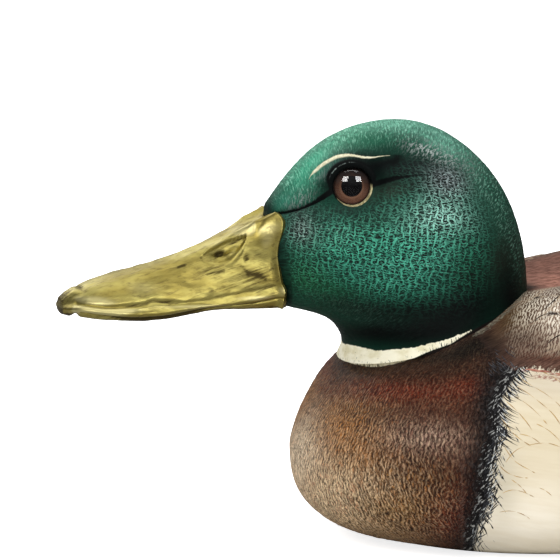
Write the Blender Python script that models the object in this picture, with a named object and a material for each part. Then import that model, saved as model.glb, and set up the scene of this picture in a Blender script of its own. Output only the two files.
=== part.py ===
"""Floating duck decoy, a life-size mallard drake: hollow two-piece wooden body, carved head on a
neck bolt, cast brass bill, glass eyes, let-in tail, inlaid ballast and a swinging line-tie ring.

Frame: origin on the flat bottom, midway between bill tip and tail tip. -Y is forward (towards the
bill), +X is the duck's left side, +Z is up. Shapes are worked out in millimetres as (x, u, z) and
meshes are made in metres. u runs aft from a station just ahead of the breast: Y = u - ORIGIN_U.
"""
import math

import bmesh
import bpy
import numpy as np
from mathutils import Matrix, Vector

# ------------------------------------------------------------------ shared dimensions (mm)
ORIGIN_U = 131.35
GAP = 0.3                  # clearance between neighbouring pieces
SPLIT_Z = 27.0             # height of the glue line between the two body shells
SEAM_U, SEAM_Z, SEAM_SLOPE = 16.6, 48.2, 0.274   # neck shelf: a plane rising aft
UP = (0.0, 0.0, 1.0)
SIDES = (("left", 1), ("right", -1))             # side name and sign of x

# ------------------------------------------------------------------ measured outlines (mm)
# Body rails, nose to stern: top line (u, z), widest line (u, z, half width), bottom line (u, z).
BODY_TOP = [
    (4.6, 22), (6.2, 29), (10.0, 36), (15.2, 42.8), (20.4, 48.2), (28, 52.6), (38, 56.8),
    (50, 61), (64, 65), (80, 68), (100, 71), (130, 73.5), (160, 73.5), (190, 71), (220, 66),
    (250, 59.5), (275, 54.5), (290, 51), (297, 48.5)]
BODY_WIDEST = [
    (4.6, 22, 0), (5.2, 22.5, 9), (7.4, 23.5, 19), (11.2, 25, 28.5), (17.6, 27, 38.5),
    (27, 29.5, 49), (40, 31.5, 58), (54, 33, 64.5), (70, 34, 69.5), (90, 35, 73.5),
    (110, 35.5, 75.5), (135, 36, 76), (165, 36, 74), (195, 36.5, 68), (222, 38, 58.5),
    (247, 40.5, 46), (270, 43, 33), (288, 44.5, 24), (297, 44.5, 20)]
BODY_BOTTOM = [
    (4.6, 22), (5.2, 15.5), (7.9, 9.8), (13.0, 5.4), (20.8, 2.3), (31.5, 0.2), (44, -1.6),
    (59, -2.8), (75, -3), (95, -3), (115, -3), (140, -3), (170, -3), (198, -3), (224, -1.6),
    (247, 7.5), (268, 20.5), (286, 33.5), (297, 40)]
# The same three rails for the hollow, front to back.
HOLLOW_TOP = [
    (25, 27), (29, 34), (40, 40), (62, 46), (95, 56), (140, 60), (185, 58), (225, 50),
    (252, 39), (266, 29)]
HOLLOW_WIDEST = [
    (25, 27, 0), (27.5, 27, 18), (36, 27, 35), (54, 27, 48), (90, 27, 58), (140, 27, 61),
    (185, 27, 56.5), (222, 27, 43), (250, 27.5, 27), (266, 29, 0)]
HOLLOW_BOTTOM = [
    (25, 27), (28, 22), (37, 18), (58, 16), (95, 16), (140, 16), (185, 16), (224, 17),
    (252, 22), (266, 29)]
# Head rails, neck shelf to bill (u, z).
THROAT = [
    (16.6, 48.2), (17.2, 50.8), (17.2, 53.6), (15.4, 57.2), (12.0, 59.9), (7.0, 61.7),
    (1.1, 63.2)]
CROWN = [
    (67.2, 62.0), (66.4, 75.6), (61.2, 91.8), (49.0, 105.6), (31.4, 111.8), (10.8, 105.9),
    (-4.6, 89.2)]
# Half widths of those sections, one row each, at these shares of the way from throat to crown.
HEAD_SHARES = np.array([0.12, 0.34, 0.56, 0.78])
HEAD_WIDTHS = [
    (19.0, 25.8, 25.4, 19.0),
    (14.5, 22.2, 23.0, 17.5),
    (12.5, 19.8, 20.8, 16.0),
    (12.0, 19.4, 19.6, 14.6),
    (11.5, 18.6, 17.6, 13.6),
    (10.6, 15.8, 14.4, 12.0),
    (8.2, 10.4, 10.2, 8.2)]
# Bill sections, base to tip: u of the foot, z of the centre top, shoulder, tomium (cutting edge)
# and bottom, half width at shoulder and tomium, forward lean over BILL_LEAN_HEIGHT.
BILL = [
    (0.8, 88.6, 86.8, 68.4, 63.6, 7.6, 10.2, 5.3),
    (-4.0, 87.0, 85.0, 67.4, 63.3, 7.2, 10.0, 4.6),
    (-10.0, 84.5, 82.2, 66.3, 62.9, 6.4, 9.7, 3.4),
    (-18.0, 81.3, 78.5, 65.2, 62.3, 6.2, 9.8, 2.2),
    (-27.0, 78.1, 75.0, 64.2, 61.7, 6.8, 10.5, 1.2),
    (-36.0, 75.6, 72.5, 63.7, 61.5, 7.8, 11.4, 0.6),
    (-44.0, 73.6, 70.8, 63.7, 61.8, 8.5, 12.0, 0.2),
    (-51.0, 71.5, 69.2, 64.2, 62.6, 7.9, 11.2, 0.0),
    (-56.0, 69.2, 67.4, 64.6, 63.3, 5.9, 8.6, 0.0),
    (-58.6, 67.2, 66.2, 64.8, 63.9, 3.0, 4.6, 0.0)]
BILL_LEAN_Z, BILL_LEAN_HEIGHT = 63.0, 25.0
# Tail board stations: u, half width, middle z, half thickness.
TAIL_BOARD = [
    (273, 15.0, 42.4, 2.2), (284, 16.5, 43.0, 2.1), (296, 20.0, 44.2, 1.9),
    (306, 23.0, 46.0, 1.6), (314, 23.5, 47.8, 1.2), (319, 18.0, 49.0, 0.9),
    (321.5, 9.0, 49.6, 0.6)]
# Tail slot stations: u, half width, middle z.
TAIL_SLOT = [(271.5, 15.8, 42.3), (284, 17.2, 43.0), (296, 20.8, 44.2), (306, 25.0, 46.0)]


# ------------------------------------------------------------------ smooth curves
def spline(knots, count):
    """count points, evenly spaced in parameter, on the natural cubic spline through knot rows."""
    knots = np.asarray(knots, float)
    n = len(knots)
    matrix = np.zeros((n, n))
    rhs = np.zeros_like(knots)
    matrix[0, 0] = matrix[-1, -1] = 1
    for i in range(1, n - 1):
        matrix[i, i - 1:i + 2] = 1, 4, 1
        rhs[i] = 6 * (knots[i - 1] - 2 * knots[i] + knots[i + 1])
    bend = np.linalg.solve(matrix, rhs)      # second derivatives at the knots
    t = np.linspace(0, 1, count) * (n - 1)
    i = np.minimum(t.astype(int), n - 2)
    after = (t - i)[:, None]
    before = 1 - after
    return (before * knots[i] + after * knots[i + 1]
            + ((before ** 3 - before) * bend[i] + (after ** 3 - after) * bend[i + 1]) / 6)


def ease(start, end, value):
    """Smooth step from 0 at start to 1 at end."""
    t = np.clip((value - start) / (end - start), 0, 1)
    return t * t * (3 - 2 * t)


def signed_power(values, power):
    return np.sign(values) * np.abs(values) ** power


# ------------------------------------------------------------------ carved surfaces
def back_relief(x, u):
    """Height of the raised band along each side of the back, less the dip between them."""
    band = 3.2 * ease(46, 80, u) * (1 - ease(170, 225, u))
    dip = 3.4 * ease(60, 80, u) * (1 - ease(105, 150, u))
    return band * np.exp(-(((np.abs(x) - 31) / 13) ** 2)) - dip * np.exp(-((x / 11) ** 2))


def body_rings(stations, ring, top, widest, bottom, outside):
    """Rings from nose to stern, each starting at the top and running down the left side.

    outside adds the relief on the back and flattens the bottom at z = 0.
    """
    upper_power, lower_power = 2.15, 2.4     # superellipse powers above and below the widest line
    top, widest, bottom = (spline(rail, stations) for rail in (top, widest, bottom))
    angle = np.linspace(0, 2 * np.pi, ring, endpoint=False)
    cosine = np.cos(angle)
    power = 2 / np.where(cosine >= 0, upper_power, lower_power)
    across = signed_power(np.sin(angle), power)
    reach = np.abs(cosine) ** power
    rings = np.zeros((stations, ring, 3))
    for k in range(stations):
        x = max(widest[k, 2], 0) * across
        middle = widest[k, :2]
        end = np.where((cosine >= 0)[:, None], top[k], bottom[k])
        u, z = (middle + (end - middle) * reach[:, None]).T
        if outside:
            z = np.maximum(z + np.where(cosine > 0, back_relief(x, u) * reach, 0), 0)
        rings[k] = np.stack([x, u, z], 1)
    return rings


def head_rings(stations, ring):
    """Rings from neck shelf to bill, each starting at the throat and running up the left side."""
    throat, crown = spline(THROAT, stations), spline(CROWN, stations)
    # Half widths as shares of an ellipse's, so that both ends close roundly.
    fullness = spline(HEAD_WIDTHS, stations) / (2 * np.sqrt(HEAD_SHARES * (1 - HEAD_SHARES)))
    angle = np.linspace(0, 2 * np.pi, ring, endpoint=False)
    rise = (1 - np.cos(angle)) / 2           # 0 at the throat, 1 at the crown
    rings = np.zeros((stations, ring, 3))
    for k in range(stations):
        share = np.interp(rise, HEAD_SHARES, fullness[k])
        # Moving average over seven neighbours round the ring.
        share = np.convolve(np.concatenate([share[-3:], share, share[:3]]), np.ones(7) / 7, "valid")
        u, z = (throat[k] + (crown[k] - throat[k]) * rise[:, None]).T
        rings[k] = np.stack([share * np.sin(angle), u, z], 1)
    return rings


def bill_rings(stations, ring):
    """Rings from base to tip, each starting at the top centre and running down the left side."""
    rings = np.zeros((stations, ring, 3))
    for k, row in enumerate(spline(BILL, stations)):
        u, top, shoulder, edge, bottom, shoulder_half, edge_half, lean = row
        # Half section (x, z) from the top centre, over the tomium, to the bottom centre.
        knots = [(0, top),
                 (shoulder_half * 0.55, top - (top - shoulder) * 0.22),
                 (shoulder_half, shoulder),
                 (edge_half * 0.97, edge + (shoulder - edge) * 0.34),
                 (edge_half, edge),
                 (edge_half * 0.86, bottom + 0.25 * (edge - bottom)),
                 (edge_half * 0.55, bottom),
                 (0, bottom - 0.2)]
        side = spline(knots, ring // 2 + 1)
        side[:, 0] = np.maximum(side[:, 0], 0)
        side[0, 0] = side[-1, 0] = 0
        x, z = np.concatenate([side, (side * [-1, 1])[-2:0:-1]]).T
        rings[k] = np.stack([x, u - lean * (z - BILL_LEAN_Z) / BILL_LEAN_HEIGHT, z], 1)
    return rings


def tail_section(u, half_width, z, half_thickness, squareness=1.0, sweep=0.0):
    """Ring across the tail, drooping towards its edges; sweep bends the outer end's edges forward."""
    angle = np.linspace(0, 2 * np.pi, 24, endpoint=False)
    x = half_width * signed_power(np.cos(angle), 0.6)
    rise = half_thickness * signed_power(np.sin(angle), squareness)
    return np.stack([x, u - sweep * x * x * ease(296, 320, u), z + rise - 0.006 * x * x], 1)


# ------------------------------------------------------------------ places
def world(point):
    """(x, u, z) in mm to the frame, in metres."""
    return Vector((point[0], point[1] - ORIGIN_U, point[2])) / 1000


def span(origin, direction, *distances):
    """Points at the given distances from origin along direction."""
    return [tuple(o + d * distance for o, d in zip(origin, direction)) for distance in distances]


def shelf_point(u):
    return (0.0, u, SEAM_Z + SEAM_SLOPE * (u - SEAM_U))


# ------------------------------------------------------------------ making objects
def clear_scene():
    for o in list(bpy.data.objects):
        bpy.data.objects.remove(o)


def paint(name, colour, roughness, metallic=0.0, alpha=1.0):
    material = bpy.data.materials.get(name) or bpy.data.materials.new(name)
    material.use_nodes = True
    inputs = material.node_tree.nodes["Principled BSDF"].inputs
    inputs["Base Color"].default_value = (*colour, 1)
    inputs["Roughness"].default_value = roughness
    inputs["Metallic"].default_value = metallic
    inputs["Alpha"].default_value = alpha
    material.diffuse_color = (*colour, alpha)
    return material


def make_object(name, bm, material=None, origin=None, sharp_angle=40):
    bmesh.ops.recalc_face_normals(bm, faces=bm.faces)
    mesh = bpy.data.meshes.new(name)
    bm.to_mesh(mesh)
    bm.free()
    mesh.shade_smooth()
    mesh.set_sharp_from_angle(angle=math.radians(sharp_angle))
    made = bpy.data.objects.new(name, mesh)
    bpy.context.scene.collection.objects.link(made)
    if material:
        mesh.materials.append(material)
    if origin is not None:
        place = world(origin)
        mesh.transform(Matrix.Translation(-place))
        made.location = place
    return made


def bridge(bm, rows, closed=False):
    """Faces between neighbouring rows of vertices, where a row of one vertex is a point.

    closed joins the last row to the first; otherwise the open ends are capped.
    """
    for row, following in zip(rows, rows[1:] + rows[:1] if closed else rows[1:]):
        count = max(len(row), len(following))
        for j in range(count):
            i = (j + 1) % count
            if len(row) == 1:
                bm.faces.new((row[0], following[i], following[j]))
            elif len(following) == 1:
                bm.faces.new((row[j], row[i], following[0]))
            else:
                bm.faces.new((row[j], row[i], following[i], following[j]))
    if not closed:
        for row in (rows[0], rows[-1]):
            if len(row) > 2:
                bm.faces.new(row)


def loft(name, rings, material=None, nose=False, tail=False):
    """Closed solid through rings; nose or tail says that end ring is a single point."""
    bm = bmesh.new()
    rows = []
    for k, ring in enumerate(rings):
        is_point = (k == 0 and nose) or (k == len(rings) - 1 and tail)
        points = [ring.mean(0)] if is_point else ring
        rows.append([bm.verts.new(world(point)) for point in points])
    bridge(bm, rows)
    bmesh.ops.triangulate(bm, faces=bm.faces)      # bent quads would give the booleans trouble
    return make_object(name, bm, material)


def circle(bm, centre, turn, radius, sides, hexagon=False):
    """Row of vertices round centre; hexagon moves them in onto the hexagon inside the circle."""
    row = []
    for j in range(sides):
        angle = 2 * math.pi * j / sides
        reach = radius
        if hexagon:
            off_flat = (angle % (math.pi / 3)) - math.pi / 6
            reach = radius * math.cos(math.pi / 6) / math.cos(off_flat)
        arm = turn @ Vector((math.cos(angle), math.sin(angle), 0)) * (reach / 1000)
        row.append(bm.verts.new(centre + arm))
    return row


def turned(name, start, end, profile, material=None, sides=20):
    """Turned solid on the line start to end; profile is [(share along, radius)]."""
    foot = world(start)
    axis = world(end) - foot
    turn = axis.to_track_quat("Z", "Y").to_matrix()
    bm = bmesh.new()
    rows = []
    for share, radius in profile:
        centre = foot + axis * share
        if radius <= 0:
            rows.append([bm.verts.new(centre)])
        else:
            rows.append(circle(bm, centre, turn, radius, sides))
    bridge(bm, rows)
    return make_object(name, bm, material)


def rod(name, start, end, radius, material=None, sides=20):
    return turned(name, start, end, [(0, radius), (1, radius)], material, sides)


def turned_upright(name, x, u, profile, material=None, sides=16):
    """Turned solid standing at (x, u); profile is [(z, radius)] from the bottom up."""
    low, high = profile[0][0], profile[-1][0]
    shares = [((z - low) / (high - low), radius) for z, radius in profile]
    return turned(name, (x, u, low), (x, u, high), shares, material, sides)


def tube(name, start, end, inner, outer, material, sides=24, hexagon=False):
    """Ring-shaped solid, with a hexagonal outside if asked."""
    foot = world(start)
    axis = world(end) - foot
    turn = axis.to_track_quat("Z", "Y").to_matrix()
    bm = bmesh.new()
    rows = [circle(bm, foot, turn, inner, sides),
            circle(bm, foot, turn, outer, sides, hexagon),
            circle(bm, foot + axis, turn, outer, sides, hexagon),
            circle(bm, foot + axis, turn, inner, sides)]
    bridge(bm, rows, closed=True)
    return make_object(name, bm, material)


def block(name, low, high, material=None, bevel=0.0):
    bm = bmesh.new()
    bmesh.ops.create_cube(bm, size=1)
    low, high = world(low), world(high)
    for v in bm.verts:
        v.co = Vector([low[i] + (high[i] - low[i]) * (v.co[i] + 0.5) for i in range(3)])
    if bevel:
        bmesh.ops.bevel(bm, geom=bm.edges, offset=bevel / 1000, segments=2, affect="EDGES",
                        profile=0.5)
    return make_object(name, bm, material, sharp_angle=30)


def stadium(name, u, half_length, radius, low, high, sides=28):
    """Upright solid with a round-ended plan, long in u."""
    plan = []
    for j in range(sides):
        angle = 2 * math.pi * j / sides
        shift = math.copysign(half_length - radius, math.sin(angle))
        plan.append((radius * math.cos(angle), u + radius * math.sin(angle) + shift))
    bm = bmesh.new()
    bridge(bm, [[bm.verts.new(world((x, y, z))) for x, y in plan] for z in (low, high)])
    return make_object(name, bm)


def sweep_solid(name, path, sections, material):
    """Solid along path; sections are (half width, half thickness), the width lying along X."""
    path = np.asarray(path, float)
    angle = np.linspace(0, 2 * np.pi, 12, endpoint=False)
    rings = []
    for k, (half_width, half_thickness) in enumerate(sections):
        ahead = path[min(k + 1, len(path) - 1)] - path[max(k - 1, 0)]
        ahead /= np.linalg.norm(ahead)
        wide = np.array([1.0, 0, 0])
        wide -= ahead * (wide @ ahead)
        wide /= np.linalg.norm(wide)
        thin = np.cross(ahead, wide)
        rings.append(path[k] + np.outer(np.cos(angle) * half_width, wide)
                     + np.outer(np.sin(angle) * half_thickness, thin))
    return loft(name, rings, material)


def torus(name, centre, normal, major, minor, material, steps, sides=10, origin=None):
    normal = Vector(normal)
    turn = normal.to_track_quat("Z", "Y").to_matrix()
    middle = world(centre)
    bm = bmesh.new()
    rows = []
    for j in range(steps):
        around = 2 * math.pi * j / steps
        out = turn @ Vector((math.cos(around), math.sin(around), 0))
        row = []
        for k in range(sides):
            angle = 2 * math.pi * k / sides
            reach = (major + minor * math.cos(angle)) / 1000
            lift = minor * math.sin(angle) / 1000
            row.append(bm.verts.new(middle + out * reach + normal * lift))
        rows.append(row)
    bridge(bm, rows, closed=True)
    return make_object(name, bm, material, origin=origin)


# ------------------------------------------------------------------ joining pieces
def add_booleans(tool, operation, targets):
    """Hides the tool from renders and applies it to each target through a modifier."""
    tool.hide_render = True
    tool.display_type = "WIRE"
    for target in targets:
        modifier = target.modifiers.new(operation.title() + "_" + tool.name, "BOOLEAN")
        modifier.operation = operation
        modifier.solver = "EXACT"
        modifier.object = tool


def cut(tool, *targets):
    add_booleans(tool, "DIFFERENCE", targets)


def unite(tool, *targets):
    add_booleans(tool, "UNION", targets)


def dowel_joint(name, hole_name, origin, direction, low, high, *targets):
    """Chamfered dowel from low to high along direction, in a hole through the targets."""
    radius, chamfer, end_room = 2.5, 0.6, 0.5
    hole_ends = span(origin, direction, low - end_room, high + end_room)
    cut(rod(hole_name, *hole_ends, radius + GAP, sides=16), *targets)
    profile = [(0, radius - chamfer), (0.06, radius), (0.94, radius), (1, radius - chamfer)]
    turned(name, *span(origin, direction, low, high), profile, birch, sides=16)


clear_scene()

# ------------------------------------------------------------------ materials
cedar = paint("painted_cedar", colour=(0.36, 0.27, 0.20), roughness=0.5)
head_paint = paint("painted_head", colour=(0.05, 0.22, 0.16), roughness=0.42)
brass = paint("cast_brass", colour=(0.60, 0.50, 0.20), roughness=0.32, metallic=1.0)
birch = paint("birch_dowel", colour=(0.72, 0.56, 0.36), roughness=0.65)
steel = paint("zinc_steel", colour=(0.60, 0.60, 0.58), roughness=0.35, metallic=1.0)
glass = paint("eye_glass", colour=(0.95, 0.95, 0.95), roughness=0.03, alpha=0.35)
iris_paint = paint("iris_enamel", colour=(0.16, 0.08, 0.045), roughness=0.3)
pupil_paint = paint("pupil_enamel", colour=(0.01, 0.01, 0.012), roughness=0.25)
putty = paint("eye_putty", colour=(0.05, 0.055, 0.05), roughness=0.6)
lead = paint("ballast_metal", colour=(0.30, 0.31, 0.32), roughness=0.55, metallic=0.8)
tail_paint = paint("painted_tail", colour=(0.72, 0.69, 0.62), roughness=0.5)
black_paint = paint("painted_curl", colour=(0.02, 0.022, 0.022), roughness=0.35)

# ------------------------------------------------------------------ body
# One outer surface and one hollow, split on the glue line by boxes larger than the body.
BOX_LOW, BOX_HIGH = (-120, -40, -30), (120, 400, 140)

hollow = loft("hollow_cutter",
              body_rings(22, 22, HOLLOW_TOP, HOLLOW_WIDEST, HOLLOW_BOTTOM, outside=False),
              nose=True, tail=True)
below = block("below_split_cutter", BOX_LOW, (*BOX_HIGH[:2], SPLIT_Z + GAP / 2))
above = block("above_split_cutter", (*BOX_LOW[:2], SPLIT_Z - GAP / 2), BOX_HIGH)
body_skin = body_rings(34, 36, BODY_TOP, BODY_WIDEST, BODY_BOTTOM, outside=True)
body_upper = loft("body_upper", body_skin, cedar, nose=True)
body_lower = loft("body_lower", body_skin, cedar, nose=True)
cut(below, body_upper)
cut(above, body_lower)
cut(hollow, body_upper, body_lower)

# ------------------------------------------------------------------ head and neck shelf
SHELF_CLEARANCE = 1.7 * GAP      # round the head's foot
SHELF_RINGS = 8                  # head rings the shelf cutter follows
# Square to the shelf, up and forward.
SHELF_NORMAL = (0.0, -SEAM_SLOPE / math.hypot(1, SEAM_SLOPE), 1 / math.hypot(1, SEAM_SLOPE))

head_skin = head_rings(22, 28)
head = loft("head", head_skin, head_paint)
# The shelf cutter is the foot of the head, grown outwards and lowered at its base.
foot_skin = head_skin[:SHELF_RINGS]
arms = foot_skin - foot_skin.mean(1)[:, None, :]
shelf_rings = foot_skin + arms / np.linalg.norm(arms, axis=2)[..., None] * SHELF_CLEARANCE
shelf_rings[0] -= np.array(SHELF_NORMAL) * GAP
cut(loft("neck_shelf_cutter", shelf_rings), body_upper)

# ------------------------------------------------------------------ neck bolt, washer and nut
# Distances run along the shelf normal, 0 at the shelf.
NECK = shelf_point(41.5)
BOLT_RADIUS, BOLT_TOP, BOLT_BOTTOM = 3.0, 26.0, -22.0
BOLT_CLEARANCE = 0.4
SEAT_TOP, SEAT_BOTTOM = -10.5, -34
SEAT_CLEARANCE = 1.5
WASHER_RADIUS, WASHER_THICKNESS = 9.5, 1.5
NUT_RADIUS, NUT_THICKNESS = 5.8, 5.0
WASHER_TOP = SEAT_TOP - GAP
WASHER_BOTTOM = WASHER_TOP - WASHER_THICKNESS
NUT_TOP = WASHER_BOTTOM - GAP

cut(rod("bolt_hole_cutter", *span(NECK, SHELF_NORMAL, -40, BOLT_TOP + 1.0),
        BOLT_RADIUS + BOLT_CLEARANCE), body_upper, head)
cut(rod("washer_seat_cutter", *span(NECK, SHELF_NORMAL, SEAT_BOTTOM, SEAT_TOP),
        WASHER_RADIUS + SEAT_CLEARANCE), body_upper)
turned("neck_bolt", *span(NECK, SHELF_NORMAL, BOLT_BOTTOM, BOLT_TOP),
       [(0, 2.4), (0.02, BOLT_RADIUS), (0.96, BOLT_RADIUS), (1, 1.6)], steel, sides=18)
tube("neck_washer", *span(NECK, SHELF_NORMAL, WASHER_BOTTOM, WASHER_TOP),
     BOLT_RADIUS + BOLT_CLEARANCE, WASHER_RADIUS, steel)
tube("neck_nut", *span(NECK, SHELF_NORMAL, NUT_TOP - NUT_THICKNESS, NUT_TOP),
     BOLT_RADIUS + GAP, NUT_RADIUS, steel, hexagon=True)

# ------------------------------------------------------------------ dowels
# Two across the neck shelf: place, u.
for place, u in (("front", 27.0), ("rear", 57.0)):
    dowel_joint(f"neck_dowel_{place}", f"neck_dowel_{place}_cutter",
                shelf_point(u), SHELF_NORMAL, -8.0, 10.0, body_upper, head)

# Four across the glue line, in the side walls: place, distance off centre, u.
SHELL_DOWEL_HALF = 7.0
for place, off_centre, u in (("front", 64.6, 92.0), ("rear", 59.4, 190.0)):
    for side, sign in SIDES:
        dowel_joint(f"shell_dowel_{place}_{side}", f"dowel_{place}_{side}_cutter",
                    (sign * off_centre, u, SPLIT_Z), UP, -SHELL_DOWEL_HALF, SHELL_DOWEL_HALF,
                    body_upper, body_lower)

# ------------------------------------------------------------------ bill
# Brass casting with a tenon that an upright pin holds in the head.
TENON_HALF = 4.0
TENON_FRONT, TENON_BACK = -8.0, 17.0
TENON_LOW, TENON_HIGH = 68.0, 78.0
MORTISE_FRONT, MORTISE_BACK = -30.0, 17.8
PIN_U, PIN_RADIUS = 10.0, 1.25

bill = loft("bill", bill_rings(22, 26), brass)
unite(block("bill_tenon_tool", (-TENON_HALF, TENON_FRONT, TENON_LOW),
            (TENON_HALF, TENON_BACK, TENON_HIGH), bevel=0.6), bill)
cut(block("bill_mortise_cutter", (-TENON_HALF - GAP, MORTISE_FRONT, TENON_LOW - GAP),
          (TENON_HALF + GAP, MORTISE_BACK, TENON_HIGH + GAP)), head)
cut(rod("bill_pin_cutter", (0, PIN_U, 54.0), (0, PIN_U, 83.0), PIN_RADIUS + GAP, sides=14),
    head, bill)
rod("bill_pin", (0, PIN_U, 62.0), (0, PIN_U, 82.4), PIN_RADIUS, brass, sides=14)

# ------------------------------------------------------------------ eyes
# Glass over enamel on a wire, set in putty. Distances run outwards along the eye's axis.
EYE_X, EYE_U, EYE_Z = 14.6, 15.6, 95.9         # where the axis leaves the head
EYE_TURN, EYE_LIFT = math.radians(12.0), math.radians(4.0)   # forward and up
EYE_RADIUS, EYE_DOME = 5.0, 2.1
GLASS_BACK = -1.6
ENAMEL_FRONT, ENAMEL_BACK = GLASS_BACK - GAP, -2.5
PUPIL_RADIUS, IRIS_RADIUS = 2.6, 4.9
WIRE_FRONT, WIRE_BACK = ENAMEL_BACK - GAP, -10.0
PUTTY_RADIUS, PUTTY_BACK, PUTTY_FRONT = 6.2, -4.6, 0.5


def build_eye(side, sign):
    axis = (sign * math.cos(EYE_LIFT) * math.cos(EYE_TURN),
            -math.cos(EYE_LIFT) * math.sin(EYE_TURN),
            math.sin(EYE_LIFT))

    def reach(back, front):
        return span((sign * EYE_X, EYE_U, EYE_Z), axis, back, front)

    cut(rod(f"eye_socket_{side}_cutter", *reach(PUTTY_BACK - GAP, 12), PUTTY_RADIUS + GAP,
            sides=28), head)
    wire_hole = rod(f"eye_wire_{side}_cutter", *reach(-10.5, 2), 0.9, sides=12)
    cut(wire_hole, head)

    length = EYE_DOME - GLASS_BACK
    dome = [((EYE_DOME * math.sin(a) - GLASS_BACK) / length, EYE_RADIUS * math.cos(a))
            for a in np.radians([0, 22, 44, 66])]
    turned(f"eye_glass_{side}", *reach(GLASS_BACK, EYE_DOME),
           [(0, EYE_RADIUS), *dome, (1, 0)], glass, sides=28)
    tube(f"eye_iris_{side}", *reach(ENAMEL_BACK, ENAMEL_FRONT), PUPIL_RADIUS + GAP,
         IRIS_RADIUS, iris_paint, sides=28)
    rod(f"eye_pupil_{side}", *reach(ENAMEL_BACK, ENAMEL_FRONT), PUPIL_RADIUS, pupil_paint,
        sides=24)
    rod(f"eye_wire_{side}", *reach(WIRE_BACK, WIRE_FRONT), 0.5, steel, sides=12)

    cup = turned(f"eye_putty_{side}", *reach(PUTTY_BACK, PUTTY_FRONT),
                 [(0, PUTTY_RADIUS), (0.9, PUTTY_RADIUS), (1, 5.8)], putty, sides=28)
    cut(rod(f"eye_cup_{side}_cutter", *reach(WIRE_FRONT - GAP / 2, 3), EYE_RADIUS + GAP,
            sides=28), cup)
    cut(wire_hole, cup)


for side, sign in SIDES:
    build_eye(side, sign)

# ------------------------------------------------------------------ tail board
SLOT_HALF_THICKNESS = 2.75

loft("tail_board", [tail_section(*row, sweep=0.004) for row in TAIL_BOARD], tail_paint)
cut(loft("tail_slot_cutter", [tail_section(*row, SLOT_HALF_THICKNESS, squareness=0.7)
                              for row in TAIL_SLOT]), body_upper)

# ------------------------------------------------------------------ curled drake feathers
CURL_X, CURL_U, CURL_Z = 5.5, 272.0, 50.0      # root of the left curl
CURL_STEM = np.array([0, 3.5, 4.0])            # root to start of the curl
CURL_CENTRE = np.array([0, 4.0, 15.5])         # root to centre of the curl
CURL_ANGLES = np.radians(np.linspace(-52, 205, 13))    # from straight aft, upwards
CURL_START = 0.9                               # radians, near the first angle
CURL_RADIUS, CURL_TIGHTENING = 8.6, 2.4 / 4.5  # mm, and mm lost per radian
CURL_STRETCH = 1.05                            # lengthwise
CURL_DRIFT = 0.9                               # mm outwards per radian


def build_curl(side, sign):
    """Feather rising from the back and curling over forward, narrowing towards its tip."""
    root = np.array([sign * CURL_X, CURL_U, CURL_Z])
    path = [root, root + CURL_STEM]
    sections = [(1.7, 1.2), (1.9, 1.2)]
    for k, angle in enumerate(CURL_ANGLES):
        turned_by = angle + CURL_START
        radius = CURL_RADIUS - CURL_TIGHTENING * turned_by
        path.append(root + CURL_CENTRE + np.array([
            sign * CURL_DRIFT * turned_by,
            radius * math.cos(angle) * CURL_STRETCH,
            radius * math.sin(angle)]))
        share = k / (len(CURL_ANGLES) - 1)
        sections.append((2.2 * (1 - 0.72 * share ** 2), 0.75 - 0.3 * share))
    sweep_solid(f"tail_curl_{side}", path, sections, black_paint)
    cut(rod(f"curl_hole_{side}_cutter", *span(root, CURL_STEM, -0.12, 3.0), 2.35, sides=16),
        body_upper)


for side, sign in SIDES:
    build_curl(side, sign)

# ------------------------------------------------------------------ ballast
# Let into the bottom, with four countersunk screws.
BALLAST_FRONT, BALLAST_BACK = 112.0, 214.0
BALLAST_HALF, BALLAST_TOP = 15.0, 8.0
SCREW_END_INSET, SCREW_SIDE_INSET = 8.0, 6.0
POCKET_BOTTOM = -5               # pocket cutters start below the body
# Profiles (z, radius).
SCREW_HOLE = [(-1, 4.0), (0.2, 4.0), (2.9, 2.0), (13.6, 2.0)]
SCREW = [(0.4, 3.5), (0.8, 3.5), (3.0, 1.6), (12.0, 1.6), (13.2, 0.5)]

ballast = block("ballast_weight", (-BALLAST_HALF, BALLAST_FRONT, GAP),
                (BALLAST_HALF, BALLAST_BACK, BALLAST_TOP), lead, bevel=1.0)
cut(block("ballast_pocket_cutter", (-BALLAST_HALF - GAP, BALLAST_FRONT - GAP, POCKET_BOTTOM),
          (BALLAST_HALF + GAP, BALLAST_BACK + GAP, BALLAST_TOP + GAP)), body_lower)
screw_x = BALLAST_HALF - SCREW_SIDE_INSET
screw_places = [(x, u) for u in (BALLAST_FRONT + SCREW_END_INSET, BALLAST_BACK - SCREW_END_INSET)
                for x in (screw_x, -screw_x)]
for k, (x, u) in enumerate(screw_places, 1):
    cut(turned_upright(f"ballast_screw_{k}_cutter", x, u, SCREW_HOLE), ballast, body_lower)
    turned_upright(f"ballast_screw_{k}", x, u, SCREW, brass)

# ------------------------------------------------------------------ line tie
# Screw eye and swinging ring in a pocket in the bottom.
TIE_U, TIE_Z = 66.0, 3.9         # pivot of the ring
TIE_POCKET_HALF, TIE_POCKET_RADIUS, TIE_POCKET_TOP = 21.0, 12.0, 8.0
RING_RADIUS, RING_WIRE = 8.0, 0.8
LOOP_RADIUS, LOOP_WIRE = 2.7, 0.9

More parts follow.
